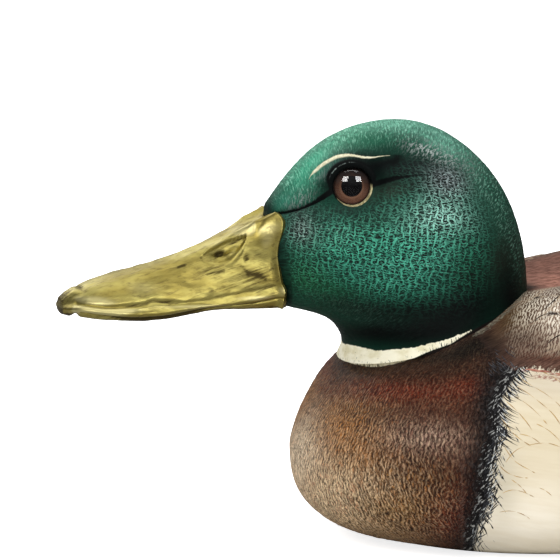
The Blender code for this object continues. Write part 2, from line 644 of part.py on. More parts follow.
cut(stadium("line_tie_pocket_cutter", TIE_U, TIE_POCKET_HALF, TIE_POCKET_RADIUS,
            POCKET_BOTTOM, TIE_POCKET_TOP), body_lower)
cut(rod("line_tie_shank_cutter", (0, TIE_U, TIE_POCKET_TOP - 1), (0, TIE_U, 14.4), 1.4,
        sides=14), body_lower)
screw_eye = torus("line_tie_eye", (0, TIE_U, TIE_Z), (1, 0, 0), LOOP_RADIUS, LOOP_WIRE, brass,
                  steps=24)
unite(turned("line_tie_shank_tool", (0, TIE_U, TIE_Z + LOOP_RADIUS - 0.1), (0, TIE_U, 14.0),
             [(0, 0.8), (0.1, 1.1), (0.85, 1.1), (1, 0.4)], sides=14), screw_eye)
torus("line_tie_ring", (0, TIE_U + RING_RADIUS, TIE_Z), UP, RING_RADIUS, RING_WIRE, brass,
      steps=32, origin=(0, TIE_U, TIE_Z))
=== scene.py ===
"""Floating duck decoy: the carved and painted look around its CAD frame.

It sits on Z = 0 with its bill towards -Y, its tail towards +Y and its left side at +X.
Shapes are worked out in mm as (x, aft, z), where aft is Y + AFT_ZERO.
"""
import math

import bmesh
import bpy
import numpy as np
from mathutils import Matrix, Vector
from mathutils.bvhtree import BVHTree


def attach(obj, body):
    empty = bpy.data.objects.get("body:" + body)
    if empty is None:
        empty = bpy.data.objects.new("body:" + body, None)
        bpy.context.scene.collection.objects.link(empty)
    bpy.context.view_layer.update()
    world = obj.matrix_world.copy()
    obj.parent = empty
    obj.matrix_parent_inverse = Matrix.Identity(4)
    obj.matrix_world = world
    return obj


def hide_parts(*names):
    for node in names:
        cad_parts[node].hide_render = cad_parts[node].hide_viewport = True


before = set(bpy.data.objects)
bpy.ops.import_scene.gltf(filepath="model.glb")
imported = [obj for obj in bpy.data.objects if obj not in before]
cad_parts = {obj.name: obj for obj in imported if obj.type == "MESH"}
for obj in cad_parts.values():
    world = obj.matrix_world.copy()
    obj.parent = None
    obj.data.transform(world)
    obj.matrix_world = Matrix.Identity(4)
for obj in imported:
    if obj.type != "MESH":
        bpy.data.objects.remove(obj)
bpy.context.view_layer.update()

MM = 0.001
AFT_ZERO = 131.35
SIDES = (("left", 1), ("right", -1))

# The view shared by the camera and the side sheet (see "side sheet" below).
VIEW_TURN, VIEW_LIFT = math.radians(14), math.radians(8)
VIEW_REACH = 900.0              # from the aim point
VIEW_FOCAL = 3420.0             # in sheet units
AIM_HEIGHT = 70.0
SHEET_MIDDLE = 280.0            # sheet coordinate of the aim point, both ways
SHEET_SCALE = VIEW_FOCAL / VIEW_REACH   # sheet units to the mm, at the aim point

EYE_AT = (14.6, 15.6, 95.9)     # the left eye; the right one mirrors it
EYE_TURN, EYE_LIFT = math.radians(12), math.radians(4)

# Tie line fittings under the breast, and the ballast pocket.
TIE_AFT, TIE_RING_RADIUS, TIE_HEIGHT = 66.0, 8.0, 3.9
POCKET_HALF_WIDTH, POCKET_FRONT, POCKET_BACK, POCKET_DEPTH = 15.3, 111.7, 214.3, 8.3


def rows(text):
    """A table written as text: rows parted by commas, numbers and #colours by spaces."""
    return [[cell if cell[0] == "#" else float(cell) for cell in row.split()]
            for row in text.split(",")]


# Body rails from breast to stern, in mm: back and keel as (aft, z), sides as (aft, z, half width).
TOP_RAIL = rows("""4.6 22, 6.2 29, 10 36, 15.2 42.8, 20.4 48.2, 28 52.6, 38 56.8, 50 61, 64 65,
    80 68, 100 71, 130 73.5, 160 73.5, 190 71, 220 66, 250 59.5, 275 54.5, 290 51, 297 48.5""")
MID_RAIL = rows("""4.6 22 0, 5.2 22.5 9, 7.4 23.5 19, 11.2 25 28.5, 17.6 27 38.5, 27 29.5 49,
    40 31.5 58, 54 33 64.5, 70 34 69.5, 90 35 73.5, 110 35.5 75.5, 135 36 76, 165 36 74,
    195 36.5 68, 222 38 58.5, 247 40.5 46, 270 43 33, 288 44.5 24, 297 44.5 20""")
LOW_RAIL = rows("""4.6 22, 5.2 15.5, 7.9 9.8, 13 5.4, 20.8 2.3, 31.5 .2, 44 -1.6, 59 -2.8, 75 -3,
    95 -3, 115 -3, 140 -3, 170 -3, 198 -3, 224 -1.6, 247 7.5, 268 20.5, 286 33.5, 297 40""")
# Head sections from neck to bill: (aft, z) of each one's throat and crown ends, and its half
# widths at the shares HEAD_SHARES of the way from throat to crown.
THROAT = rows("16.6 48.2, 17.2 50.8, 17.2 53.6, 15.4 57.2, 12 59.9, 7 61.7, 1.1 63.2")
CROWN = rows("67.2 62, 66.4 75.6, 61.2 91.8, 49 105.6, 31.4 111.8, 10.8 105.9, -4.6 89.2")
HEAD_SHARES = [0.0, 0.12, 0.34, 0.56, 0.78, 1.0]
HEAD_WIDTHS = rows("""0 19 25.8 25.4 19 0, 0 14.5 22.2 23 17.5 0, 0 12.5 19.8 20.8 16 0,
    0 12 19.4 19.6 14.6 0, 0 11.5 18.6 17.6 13.6 0, 0 10.6 15.8 14.4 12 0, 0 8.2 10.4 10.2 8.2 0""")
# Bill sections from base to tip: aft, heights of top, shoulder, edge and bottom,
# half widths at shoulder and edge, and forward lean.
BILL = rows("""0.8 88.6 86.8 68.4 63.6 7.6 10.2 5.3, -4 87 85 67.4 63.3 7.2 10 4.6,
    -10 84.5 82.2 66.3 62.9 6.4 9.7 3.4, -18 81.3 78.5 65.2 62.3 6.2 9.8 2.2,
    -27 78.1 75 64.2 61.7 6.8 10.5 1.2, -36 75.6 72.5 63.7 61.5 7.8 11.4 .6,
    -44 73.6 70.8 63.7 61.8 8.5 12 .2, -51 71.5 69.2 64.2 62.6 7.9 11.2 0,
    -56 69.2 67.4 64.6 63.3 5.9 8.6 0, -58.6 67.2 66.2 64.8 63.9 3 4.6 0""")


# ------------------------------------------------------------------ curves and noise
def spline(knots, share):
    """Natural cubic spline through evenly spaced knots, at shares 0..1 of the way along."""
    knots = np.asarray(knots, float)
    flat = knots.reshape(len(knots), -1)
    count = len(knots)
    system = np.zeros((count, count))
    right = np.zeros_like(flat)
    system[0, 0] = system[-1, -1] = 1
    for i in range(1, count - 1):
        system[i, i - 1:i + 2] = 1, 4, 1
        right[i] = 6 * (flat[i - 1] - 2 * flat[i] + flat[i + 1])
    bend = np.linalg.solve(system, right)
    place = np.clip(np.asarray(share, float), 0, 1) * (count - 1)
    i = np.minimum(place.astype(int), count - 2)
    after = (place - i)[..., None]
    before = 1 - after
    out = before * flat[i] + after * flat[i + 1]
    out = out + ((before ** 3 - before) * bend[i] + (after ** 3 - after) * bend[i + 1]) / 6
    return out.reshape(place.shape + knots.shape[1:])


def curve(knots, count=80):
    return spline(knots, np.linspace(0, 1, count))


def stations(*runs):
    """Joined even runs of (start, end, count), each sharing its end with the next one's start."""
    return np.append(np.concatenate([np.linspace(*run)[:-1] for run in runs]), runs[-1][1])


def ease(low, high, value):
    share = np.clip((np.asarray(value, float) - low) / (high - low), 0, 1)
    return share * share * (3 - 2 * share)


def bell(value, width, centre=0.0):
    return np.exp(-(((value - centre) / width) ** 2))


def hashed(i, j, k, seed):
    """A repeatable number in 0..1 for lattice place i, j, k."""
    code = (i * 374761393 + j * 668265263 + k * 2147483647 + seed * 144269504) & 0xFFFFFFFF
    code = ((code ^ (code >> 13)) * 1274126177) & 0xFFFFFFFF
    return ((code ^ (code >> 16)) & 0xFFFFFF) / float(0xFFFFFF)


def value_noise(points, seed):
    """Smooth lattice noise in 0..1 at points (n, 3)."""
    base = np.floor(points).astype(np.int64)
    part = points - base
    part = part * part * (3 - 2 * part)
    out = np.zeros(len(points))
    for step in np.ndindex(2, 2, 2):
        share = [part[:, k] if step[k] else 1 - part[:, k] for k in range(3)]
        corner = [base[:, k] + step[k] for k in range(3)]
        out += share[0] * share[1] * share[2] * hashed(*corner, seed)
    return out


def fractal(points, octaves, seed):
    out, amount, total = 0, 1.0, 0
    for octave in range(octaves):
        out = out + amount * value_noise(points * 2 ** octave, seed + octave)
        total += amount
        amount *= 0.5
    return out / total


# ------------------------------------------------------------------ shapes, as in the CAD source
def body_rings(share, count):
    top, side, low = (spline(rail, share) for rail in (TOP_RAIL, MID_RAIL, LOW_RAIL))
    angle = np.linspace(0, 2 * np.pi, count, endpoint=False)
    upward, outward = np.cos(angle), np.sin(angle)
    power = np.where(upward >= 0, 2.15, 2.4)
    across = np.sign(outward) * np.abs(outward) ** (2 / power)
    rise_share = np.abs(upward) ** (2 / power)
    x = np.maximum(side[:, 2], 0)[:, None] * across[None, :]
    end = np.where((upward >= 0)[None, :, None], top[:, None, :], low[:, None, :])
    profile = side[:, None, :2] + (end - side[:, None, :2]) * rise_share[None, :, None]
    aft, z = profile[..., 0], profile[..., 1]
    # The shoulders stand up on each side of a dip behind the neck.
    rise = 3.2 * ease(46, 80, aft) * (1 - ease(170, 225, aft)) * bell(np.abs(x), 13, 31)
    dip = 3.4 * ease(60, 80, aft) * (1 - ease(105, 150, aft)) * bell(x, 11)
    z = z + np.where(upward > 0, 1.0, 0.0)[None, :] * (rise - dip) * rise_share[None, :]
    return np.stack([x, aft, np.maximum(z, 0)], -1)


def head_rings(share, count):
    throat, crown, widths = spline(THROAT, share), spline(CROWN, share), spline(HEAD_WIDTHS, share)
    angle = np.linspace(0, 2 * np.pi, count, endpoint=False)
    coarse = (1 - np.cos(np.linspace(0, 2 * np.pi, 28, endpoint=False))) / 2
    rise = (1 - np.cos(angle)) / 2
    out = np.zeros((len(share), count, 3))
    inner = np.array(HEAD_SHARES[1:-1])
    soft = max(3, count // 14) | 1                  # rounds the corners between the coarse places
    for k in range(len(share)):
        wide = widths[k][1:-1] / (2 * np.sqrt(inner * (1 - inner)))
        wide = np.interp(coarse, HEAD_SHARES, np.concatenate([[wide[0]], wide, [wide[-1]]]))
        wide = np.convolve(np.concatenate([wide[-3:], wide, wide[:3]]), np.ones(7) / 7, "valid")
        wide = np.interp(angle, np.linspace(0, 2 * np.pi, 29), np.append(wide, wide[0]))
        looped = np.concatenate([wide[-soft:], wide, wide[:soft]])
        wide = np.convolve(looped, np.ones(soft) / soft, "same")[soft:-soft]
        profile = throat[k][None, :] + (crown[k] - throat[k])[None, :] * rise[:, None]
        out[k] = np.stack([wide * np.sin(angle), profile[:, 0], profile[:, 1]], 1)
    return out


def bill_rings(share, count):
    out = np.zeros((len(share), count, 3))
    for k, row in enumerate(spline(BILL, share)):
        aft, top, shoulder, edge, bottom, shoulder_half, edge_half, lean = row
        knots = [(0, top), (shoulder_half * 0.55, top - (top - shoulder) * 0.22),
                 (shoulder_half, shoulder), (edge_half * 0.97, edge + (shoulder - edge) * 0.34),
                 (edge_half, edge), (edge_half * 0.86, bottom + 0.25 * (edge - bottom)),
                 (edge_half * 0.55, bottom), (0, bottom - 0.2)]
        side = curve(knots, count // 2 + 1)
        side[:, 0] = np.maximum(side[:, 0], 0)
        side[0, 0] = side[-1, 0] = 0
        section = np.concatenate([side, (side * [-1, 1])[-2:0:-1]])
        x, z = section[:, 0], section[:, 1]
        out[k] = np.stack([x, aft - lean * (z - 63.0) / 25.0, z], 1)
    return out


def eye_axis(sign):
    level = math.cos(EYE_LIFT)
    return np.array([sign * level * math.cos(EYE_TURN), -level * math.sin(EYE_TURN),
                     math.sin(EYE_LIFT)])


# ------------------------------------------------------------------ side sheet
# Paint lines and carved lines are laid out on a perspective side drawing of the bird, seen a
# little from the front and above: +x on it is aft and +y is down. Both flanks use the same
# drawing. Distances stored on the meshes for the paint are in sheet units.
LOOK = np.array([math.cos(VIEW_TURN) * math.cos(VIEW_LIFT),
                 -math.sin(VIEW_TURN) * math.cos(VIEW_LIFT), math.sin(VIEW_LIFT)])
ACROSS = np.array([math.sin(VIEW_TURN), math.cos(VIEW_TURN), 0.0])
UPWARD = np.cross(LOOK, ACROSS)
VIEWPOINT = np.array([0, 0, AIM_HEIGHT]) + VIEW_REACH * LOOK

BROW = curve(rows("""308.5 180, 312.5 173.5, 319.5 166.4, 325.3 162.2, 331 158.8, 337 156.2,
    346.7 154.7, 355 155.6, 364.4 157.2, 373.3 157.2, 380 156.6, 386 155.8, 391 155.6"""))
EYE_LINE_FRONT = curve(rows("""262 213, 272 213.2, 283 212, 298 208.6, 315 201.4, 327 194,
    335 187.5"""))
EYE_LINE_REAR = curve(rows("371 184.5, 380 181.6, 391 179, 405 176.3, 430 174"))
# Upper and lower edges of the neck ring.
RING_TOP = curve(rows("""330 341, 344 343.8, 354 345.6, 366 348.4, 377 350.6, 391 349.6,
    412 347.6, 427 344.2, 442 341, 456 336, 469 331, 476 328"""))
RING_LOW = curve(rows("""326 352, 337 358.3, 349 364, 361 367.2, 373 368.4, 385 367, 402 363.2,
    417 357, 432 350.4, 448 345, 456 340.6, 469 332.4, 476 328.4"""))
# The line between breast and flank, the lower edge of the shoulder feathers, the neck seat.
FLANK = curve(rows("""520 358, 521 369, 515 378, 508 389, 502 401, 501 413, 501 426, 499 438,
    494 452, 491 466, 490 480, 490 494, 487 508, 480 522, 476 536, 474 552, 470 600,
    466 640"""), 160)
SHOULDER_EDGE = rows("""462 320, 476 334, 486 348, 500 361.5, 512 369, 524 369.5, 540 370,
    556 372.5, 600 379, 680 388, 780 392, 880 393, 980 392, 1080 388, 1200 380, 1320 372""")
NECK_SEAT = curve(rows("470.5 336, 483.5 330, 497.5 320.5, 511.5 310, 522.5 300.5, 528 293.5"))


def sheet(points):
    """Where points (n, 3) in (x, aft, z) mm fall on the side sheet."""
    offset = np.stack([np.abs(points[:, 0]), points[:, 1], points[:, 2] - AIM_HEIGHT], 1)
    offset = offset - VIEW_REACH * LOOK
    scale = VIEW_FOCAL / -(offset @ LOOK)
    return np.stack([SHEET_MIDDLE + scale * (offset @ ACROSS),
                     SHEET_MIDDLE - scale * (offset @ UPWARD)], 1)


def line_distance(drawn, line):
    """Distance to a drawn line, side (+ is right of its direction) and share along it."""
    line = np.asarray(line, float)
    best = np.full(len(drawn), 1e9)
    side = np.zeros(len(drawn))
    share = np.zeros(len(drawn))
    spans = np.linalg.norm(np.diff(line, axis=0), axis=1)
    length = np.concatenate([[0], np.cumsum(spans)])
    for i in range(len(line) - 1):
        start, span = line[i], line[i + 1] - line[i]
        part = np.clip(((drawn - start) @ span) / (span @ span), 0, 1)
        distance = np.linalg.norm(drawn - (start + part[:, None] * span), axis=1)
        near = distance < best
        cross = span[0] * (drawn[:, 1] - start[1]) - span[1] * (drawn[:, 0] - start[0])
        best = np.where(near, distance, best)
        side = np.where(near, np.sign(cross), side)
        share = np.where(near, (length[i] + part * spans[i]) / length[-1], share)
    return best, side, share


def signed(distance, side):
    return np.where(side > 0, distance, -distance)


def ring_edges(drawn):
    """Depths inside the neck ring's upper and lower edges, and distance past its rear end."""
    top, top_side, _ = line_distance(drawn, RING_TOP)
    low, low_side, _ = line_distance(drawn, RING_LOW)
    return signed(top, top_side), signed(low, -low_side), np.maximum(drawn[:, 0] - 472, 0)


def blob(drawn, cx, cy, rx, ry):
    """A soft level ellipse on the sheet."""
    return np.exp(-(((drawn[:, 0] - cx) / rx) ** 2 + ((drawn[:, 1] - cy) / ry) ** 2))


def tilted_blob(drawn, cx, cy, run, rise, rx, ry):
    """A soft ellipse sloping up aft by rise over run."""
    x, y = drawn[:, 0] - cx, drawn[:, 1] - cy
    return bell(x * run - y * rise, rx) * bell(y * run + x * rise, ry)


# ------------------------------------------------------------------ colour
def lin(code):
    value = np.array([int(code[i:i + 2], 16) / 255 for i in (1, 3, 5)])
    return np.where(value <= 0.04045, value / 12.92, ((value + 0.055) / 1.055) ** 2.4)


def spot(drawn, cx, cy, rx, ry, degrees):
    """A soft ellipse on the sheet, turned by degrees."""
    cos, sin = math.cos(math.radians(degrees)), math.sin(math.radians(degrees))
    x, y = drawn[:, 0] - cx, drawn[:, 1] - cy
    return np.exp(-(((x * cos + y * sin) / rx) ** 2 + ((-x * sin + y * cos) / ry) ** 2))


def tint(colours, weight, other):
    """Colours (n, 3) mixed by weight (n) towards a colour code or more colours."""
    weight = weight[:, None]
    return colours * (1 - weight) + (lin(other) if isinstance(other, str) else other) * weight


def airbrush(drawn, base, spots):
    """Base colour with soft spots: centre x, y, radii x, y, degrees, colour, strength."""
    out = np.tile(lin(base), (len(drawn), 1))
    for *place, colour, strength in spots:
        out = tint(out, strength * spot(drawn, *place), colour)
    return out


def soft_mask(drawn, spots):
    """A mask of soft spots: centre x, y, radii x, y, degrees, strength."""
    out = np.zeros(len(drawn))
    for *place, strength in spots:
        out = 1 - (1 - out) * (1 - strength * spot(drawn, *place))
    return out


# ------------------------------------------------------------------ meshes
def to_world(points):
    out = np.asarray(points, float).reshape(-1, 3) * MM
    out[:, 1] -= AFT_ZERO * MM
    return out


def flat_map(first, second):
    """A two-way surface position, stored as a vector for the paint."""
    return np.stack([first, second, np.zeros(len(first))], 1)


def mesh_object(name, points, faces, material, attributes=None):
    """A smooth mesh from points (n, 3) mm; at_* attributes are vectors, other (n, 3) colours."""
    mesh = bpy.data.meshes.new(name)
    mesh.from_pydata(to_world(points).tolist(), [], faces)
    for key, values in (attributes or {}).items():
        values = np.asarray(values, float)
        if key.startswith("at_"):
            kind, field = "FLOAT_VECTOR", "vector"
        elif values.ndim == 2:
            kind, field = "FLOAT_COLOR", "color"
            values = np.concatenate([values, np.ones((len(values), 1))], 1)
        else:
            kind, field = "FLOAT", "value"
        mesh.attributes.new(key, kind, "POINT").data.foreach_set(field, values.ravel())
    mesh.shade_smooth()
    mesh.materials.append(material)
    mesh.update()
    made = bpy.data.objects.new(name, mesh)
    bpy.context.scene.collection.objects.link(made)
    bm = bmesh.new()
    bm.from_mesh(mesh)
    bmesh.ops.recalc_face_normals(bm, faces=bm.faces)
    bm.to_mesh(mesh)
    bm.free()
    return made


def enrol(made, slot, *nodes, body="decoy"):
    """Put the object on its body's empty and hide the CAD nodes it replaces; the slot argument is
    not used.
    """
    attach(made, body)
    if nodes:
        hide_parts(*nodes)


def grid_faces(count, around, caps=True):
    k, j = np.meshgrid(np.arange(count - 1), np.arange(around), indexing="ij")
    i = (j + 1) % around
    corners = [k * around + j, k * around + i, (k + 1) * around + i, (k + 1) * around + j]
    faces = np.stack(corners, -1).reshape(-1, 4).tolist()
    if caps:
        faces.append(list(range(around))[::-1])
        faces.append(list(range((count - 1) * around, count * around)))
    return faces


def skin(grid):
    """Points (n, 3) of a ring grid, with their outward normals."""
    along = np.gradient(grid, axis=0)
    around = (np.roll(grid, -1, 1) - np.roll(grid, 1, 1)) / 2
    normals = np.cross(around, along)
    normals /= np.maximum(np.linalg.norm(normals, axis=2), 1e-9)[..., None]
    if (normals * (grid - grid.mean(1)[:, None, :])).sum() < 0:
        normals = -normals
    return grid.reshape(-1, 3), normals.reshape(-1, 3)


def cut_away(made, bm, name):
    """Cut the closed shape in bm out of an object, and free bm."""
    mesh = bpy.data.meshes.new(name)
    bm.to_mesh(mesh)
    bm.free()
    tool = bpy.data.objects.new(name, mesh)
    bpy.context.scene.collection.objects.link(tool)
    cut = made.modifiers.new("cut", "BOOLEAN")
    cut.operation, cut.solver, cut.object = "DIFFERENCE", "EXACT", tool
    bpy.context.view_layer.update()
    graph = bpy.context.evaluated_depsgraph_get()
    done = bpy.data.meshes.new_from_object(made.evaluated_get(graph))
    made.modifiers.clear()
    made.data = done
    bpy.data.objects.remove(tool)


# ------------------------------------------------------------------ material writing
class Paint:
    """A material built from nodes; `colour` is the top of the paint layers laid so far."""

    def __init__(self, name, roughness=0.5, metallic=0.0, colour=None):
        self.material = bpy.data.materials.new(name)
        self.material.use_nodes = True
        self.tree = self.material.node_tree
        self.shader = self.tree.nodes["Principled BSDF"]
        self.set("Roughness", roughness)
        self.set("Metallic", metallic)
        self.colour = colour

    def put(self, socket, value):
        if isinstance(value, bpy.types.NodeSocket):
            self.tree.links.new(value, socket)
        elif isinstance(value, str):
            socket.default_value = (*lin(value), 1)
        else:
            socket.default_value = value

    def set(self, key, value):
        self.put(self.shader.inputs[key], value)

    def surface(self, node):
        """Make this shader node the material's surface."""
        self.put(self.tree.nodes["Material Output"].inputs["Surface"], node.outputs[0])

    def node(self, kind, inputs=(), **props):
        made = self.tree.nodes.new(kind)
        for key, value in props.items():
            setattr(made, key, value)
        for key, value in dict(inputs).items():
            self.put(made.inputs[key], value)
        return made

    def attr(self, name):
        return self.node("ShaderNodeAttribute", attribute_name=name).outputs["Fac"]

    def hue(self, name):
        """A stored colour."""
        return self.node("ShaderNodeAttribute", attribute_name=name).outputs["Color"]

    def coordinates(self, kind="Object"):
        return self.node("ShaderNodeTexCoord").outputs[kind]

    def vector(self, operation, *values):
        return self.node("ShaderNodeVectorMath", enumerate(values), operation=operation).outputs

    def split(self, vector):
        return self.node("ShaderNodeSeparateXYZ", {0: vector}).outputs

    def mapping(self, vector, key, value):
        inputs = {"Vector": vector, key: value}
        return self.node("ShaderNodeMapping", inputs, vector_type="POINT").outputs[0]

    def stretch(self, vector, scale, turn):
        """A position turned by degrees about x, y and z, then stretched."""
        turned_by = self.mapping(vector, "Rotation", tuple(math.radians(x) for x in turn))
        return self.mapping(turned_by, "Scale", scale)

    def warp(self, vector, scale, amount):
        """A position pushed about by noise: scale per mm, amount in mm."""
        noise = self.noise_node(vector, scale, 2.0, 0.5)
        centred = self.vector("SUBTRACT", noise.outputs["Color"], (0.5, 0.5, 0.5))[0]
        return self.vector("MULTIPLY_ADD", centred, (amount,) * 3, vector)[0]

    def place(self, name, x, y, turn=0.0, warp=None):
        """A stored surface position in mm, warped (scale, amount), turned, then stretched."""
        vector = self.node("ShaderNodeAttribute", attribute_name=name).outputs["Vector"]
        if warp:
            vector = self.warp(vector, *warp)
        return self.stretch(vector, (x, y, 1), (0, 0, turn))

    def mm(self, scale=1, turn=(0, 0, 0)):
        """Object coordinates in mm, turned and then stretched by one number or three."""
        scale = scale if isinstance(scale, tuple) else (scale,) * 3
        return self.stretch(self.mapping(self.coordinates(), "Scale", (1000,) * 3), scale, turn)

    def noise_node(self, vector, scale, detail, rough):
        inputs = {"Vector": vector, "Scale": scale, "Detail": detail, "Roughness": rough}
        return self.node("ShaderNodeTexNoise", inputs)

    def noise(self, vector, detail=2.0, rough=0.5):
        return self.noise_node(vector, 1.0, detail, rough).outputs["Fac"]

    def grain(self, name, x, y, turn=0.0, warp=None, **look):
        """Noise over a stored surface position."""
        return self.noise(self.place(name, x, y, turn, warp), **look)

    def fleck(self, scale, turn=(0, 0, 0), **look):
        """Noise through the solid, scale per mm."""
        return self.noise(self.mm(scale, turn), **look)

    def voronoi(self, vector, feature="DISTANCE_TO_EDGE", randomness=1.0):
        inputs = {"Vector": vector, "Scale": 1.0, "Randomness": randomness}
        return self.node("ShaderNodeTexVoronoi", inputs, feature=feature).outputs

    def wave(self, vector, scale, distortion, detail=2.0, detail_scale=1.0, direction="X"):
        inputs = {"Vector": vector, "Scale": scale, "Distortion": distortion, "Detail": detail,
                  "Detail Scale": detail_scale}
        node = self.node("ShaderNodeTexWave", inputs, bands_direction=direction)
        return node.outputs["Fac"]

    def calc(self, operation, a, b=0.0, c=0.0):
        return self.node("ShaderNodeMath", enumerate((a, b, c)), operation=operation).outputs[0]

    def times(self, a, b):
        return self.calc("MULTIPLY", a, b)

    def plus(self, a, b):
        return self.calc("ADD", a, b)

    def minus(self, a, b):
        return self.calc("SUBTRACT", a, b)

    def size(self, a):
        return self.calc("ABSOLUTE", a)

    def swing(self, noise, amount):
        """Noise made to swing evenly about zero."""
        return self.times(self.minus(noise, 0.5), amount)

    def band(self, width, distance):
        """How far inside a stored line, from its stored half width and distance."""
        return self.minus(self.attr(width), self.size(self.attr(distance)))

    def step(self, value, low, high, start=0.0, end=1.0):
        """Smooth step from start to end as value goes from low to high."""
        inputs = {"Value": value, "From Min": low, "From Max": high, "To Min": start,
                  "To Max": end}
        node = self.node("ShaderNodeMapRange", inputs, interpolation_type="SMOOTHSTEP", clamp=True)
        return node.outputs[0]

    def mix(self, share, a, b, blend="MIX"):
        inputs = {0: share, 6: a, 7: b}
        return self.node("ShaderNodeMix", inputs, data_type="RGBA", blend_type=blend).outputs[2]

    def over(self, share, colour):
        """Lay a colour over the layers so far."""
        self.colour = self.mix(share, self.colour, colour)

    def lines(self, vector, axis, pitch, sway, amount):
        """Wavy parallel lines square to one axis: 0..1, pitch in mm, swayed by noise."""
        along = self.split(vector)[axis]
        turns = self.plus(self.calc("DIVIDE", along, pitch), self.swing(sway, amount))
        wave = self.calc("SINE", self.times(turns, 2 * math.pi))
        return self.calc("MULTIPLY_ADD", wave, 0.5, 0.5)

    def bump(self, *layers):
        """Layers of (height, distance in mm)."""
        last = None
        for height, distance in layers:
            inputs = {"Strength": 1.0, "Distance": distance * MM, "Height": height}
            if last is not None:
                inputs["Normal"] = last
            last = self.node("ShaderNodeBump", inputs).outputs[0]
        self.set("Normal", last)

    def finish(self, *layers):
        """Use the paint layers laid so far, and the bump layers given."""
        self.set("Base Color", self.colour)
        if layers:
            self.bump(*layers)
        return self.material


def nicked_ring_edge(mat, position):
    """The neck ring's lower edge, nicked by upright brush marks."""
    fray = mat.grain(position, 2.6, 0.35, detail=3.0, rough=0.75)
    return mat.plus(mat.attr("ring_low"), mat.times(mat.step(fray, 0.53, 0.70), -7.0))


# ------------------------------------------------------------------ head paint
def head_net(mat):
    """Combed strokes: wavy upright strands with short level rungs; also their clumps, dashes."""
    flat = mat.place("at_side", 1, 1, turn=7, warp=(0.9, 0.55))
    sway = mat.grain("at_side", 0.17, 0.33)
    strands = mat.step(mat.lines(flat, axis=0, pitch=1.75, sway=sway, amount=2.2), 0.75, 0.89)
    breaks = mat.grain("at_side", 0.9, 0.75, rough=0.6)
    sway = mat.grain("at_side", 0.50, 0.30, rough=0.55)
    rungs = mat.step(mat.lines(flat, axis=1, pitch=0.72, sway=sway, amount=3.0), 0.66, 0.86)
    clump = mat.grain("at_side", 0.62, 1.0, rough=0.6)
    dash = mat.grain("at_side", 0.75, 2.6, turn=10, warp=(0.6, 0.9), rough=0.6)
    cells = mat.place("at_side", 1 / 1.70, 1 / 0.95, turn=9, warp=(0.45, 1.2))
    cells = mat.step(mat.voronoi(cells, randomness=0.9)["Distance"], 0.02, 0.12, 1.0, 0.0)
    net = mat.times(strands, mat.step(breaks, 0.43, 0.52, 0.10, 0.85))
    for layer in (lambda: mat.times(rungs, mat.step(clump, 0.43, 0.56, 0.10, 1.0)),
                  lambda: mat.times(cells, mat.step(breaks, 0.60, 0.48, 0.0, 0.6)),
                  lambda: mat.times(mat.step(dash, 0.63, 0.70), 0.8)):
        net = mat.calc("MAXIMUM", net, layer())
    return net, clump, dash


def paint_lids(mat, nick):
    """Lids and smoke round the eye, drawn from the eye's own axis on both sides alike."""
    here = mat.coordinates()
    parts, folded = mat.split(here), mat.split(mat.vector("ABSOLUTE", here)[0])
    inputs = {0: folded[0], 1: parts[1], 2: parts[2]}
    left = mat.node("ShaderNodeCombineXYZ", inputs).outputs[0]
    offset = mat.vector("SUBTRACT", left, tuple(to_world(EYE_AT)[0]))[0]
    along = mat.vector("DOT_PRODUCT", offset, tuple(eye_axis(1)))["Value"]
    height = mat.times(along, 1000.0)
    span = mat.times(mat.vector("LENGTH", offset)["Value"], 1000.0)
    square = mat.minus(mat.times(span, span), mat.times(height, height))
    radius = mat.calc("SQRT", mat.calc("MAXIMUM", square, 0.0))
    parts = mat.split(offset)

    def direction(axis):
        return mat.calc("DIVIDE", mat.times(parts[axis], 1000.0),
                        mat.calc("MAXIMUM", radius, 0.1))

    up, aft = direction(2), direction(1)
    wander = mat.swing(mat.fleck(1.1), 0.5)
    # Black lid, wider above, and smoke over it.
    lid = mat.plus(mat.step(up, -0.45, 0.60, 4.9, 7.1), mat.times(aft, -0.35))
    lid = mat.plus(lid, wander)
    mat.over(mat.step(mat.minus(lid, radius), -0.35, 0.25), "#040606")
    smoke = mat.step(mat.plus(up, mat.times(aft, -0.2)), -0.5, 0.3)
    mat.over(mat.times(mat.step(radius, 6.0, 11.5, 0.8, 0.0), smoke), "#060a0a")
    # A broken pale painted highlight along the lid's roll, above and in front.
    lid_highlight = mat.minus(0.16, mat.size(mat.minus(radius, 6.35)))
    lid_highlight = mat.step(mat.plus(lid_highlight, mat.times(wander, 0.8)), -0.02, 0.22)
    broken = mat.times(mat.step(aft, 0.15, -0.15, 0.0, 0.6), mat.step(nick, 0.42, 0.55))
    mat.over(mat.times(lid_highlight, mat.times(mat.step(up, 0.30, 0.6), broken)), "#93a39c")
    # A pale line below, thicker behind.
    low = mat.times(mat.step(up, 0.20, -0.10), mat.step(mat.minus(aft, up), -0.35, 0.1))
    thick = mat.step(mat.minus(aft, mat.times(up, 0.8)), -0.5, 1.1, 0.05, 0.25)
    middle = mat.plus(4.86, mat.times(thick, 0.7))
    line = mat.minus(thick, mat.size(mat.minus(radius, middle)))
    line = mat.step(mat.plus(line, mat.times(wander, 0.35)), -0.08, 0.10)
    mat.over(mat.times(low, line), mat.mix(mat.step(nick, 0.4, 0.6), "#c3b98f", "#8d835d"))
    mat.over(mat.step(radius, 4.86, 4.74), "#020202")


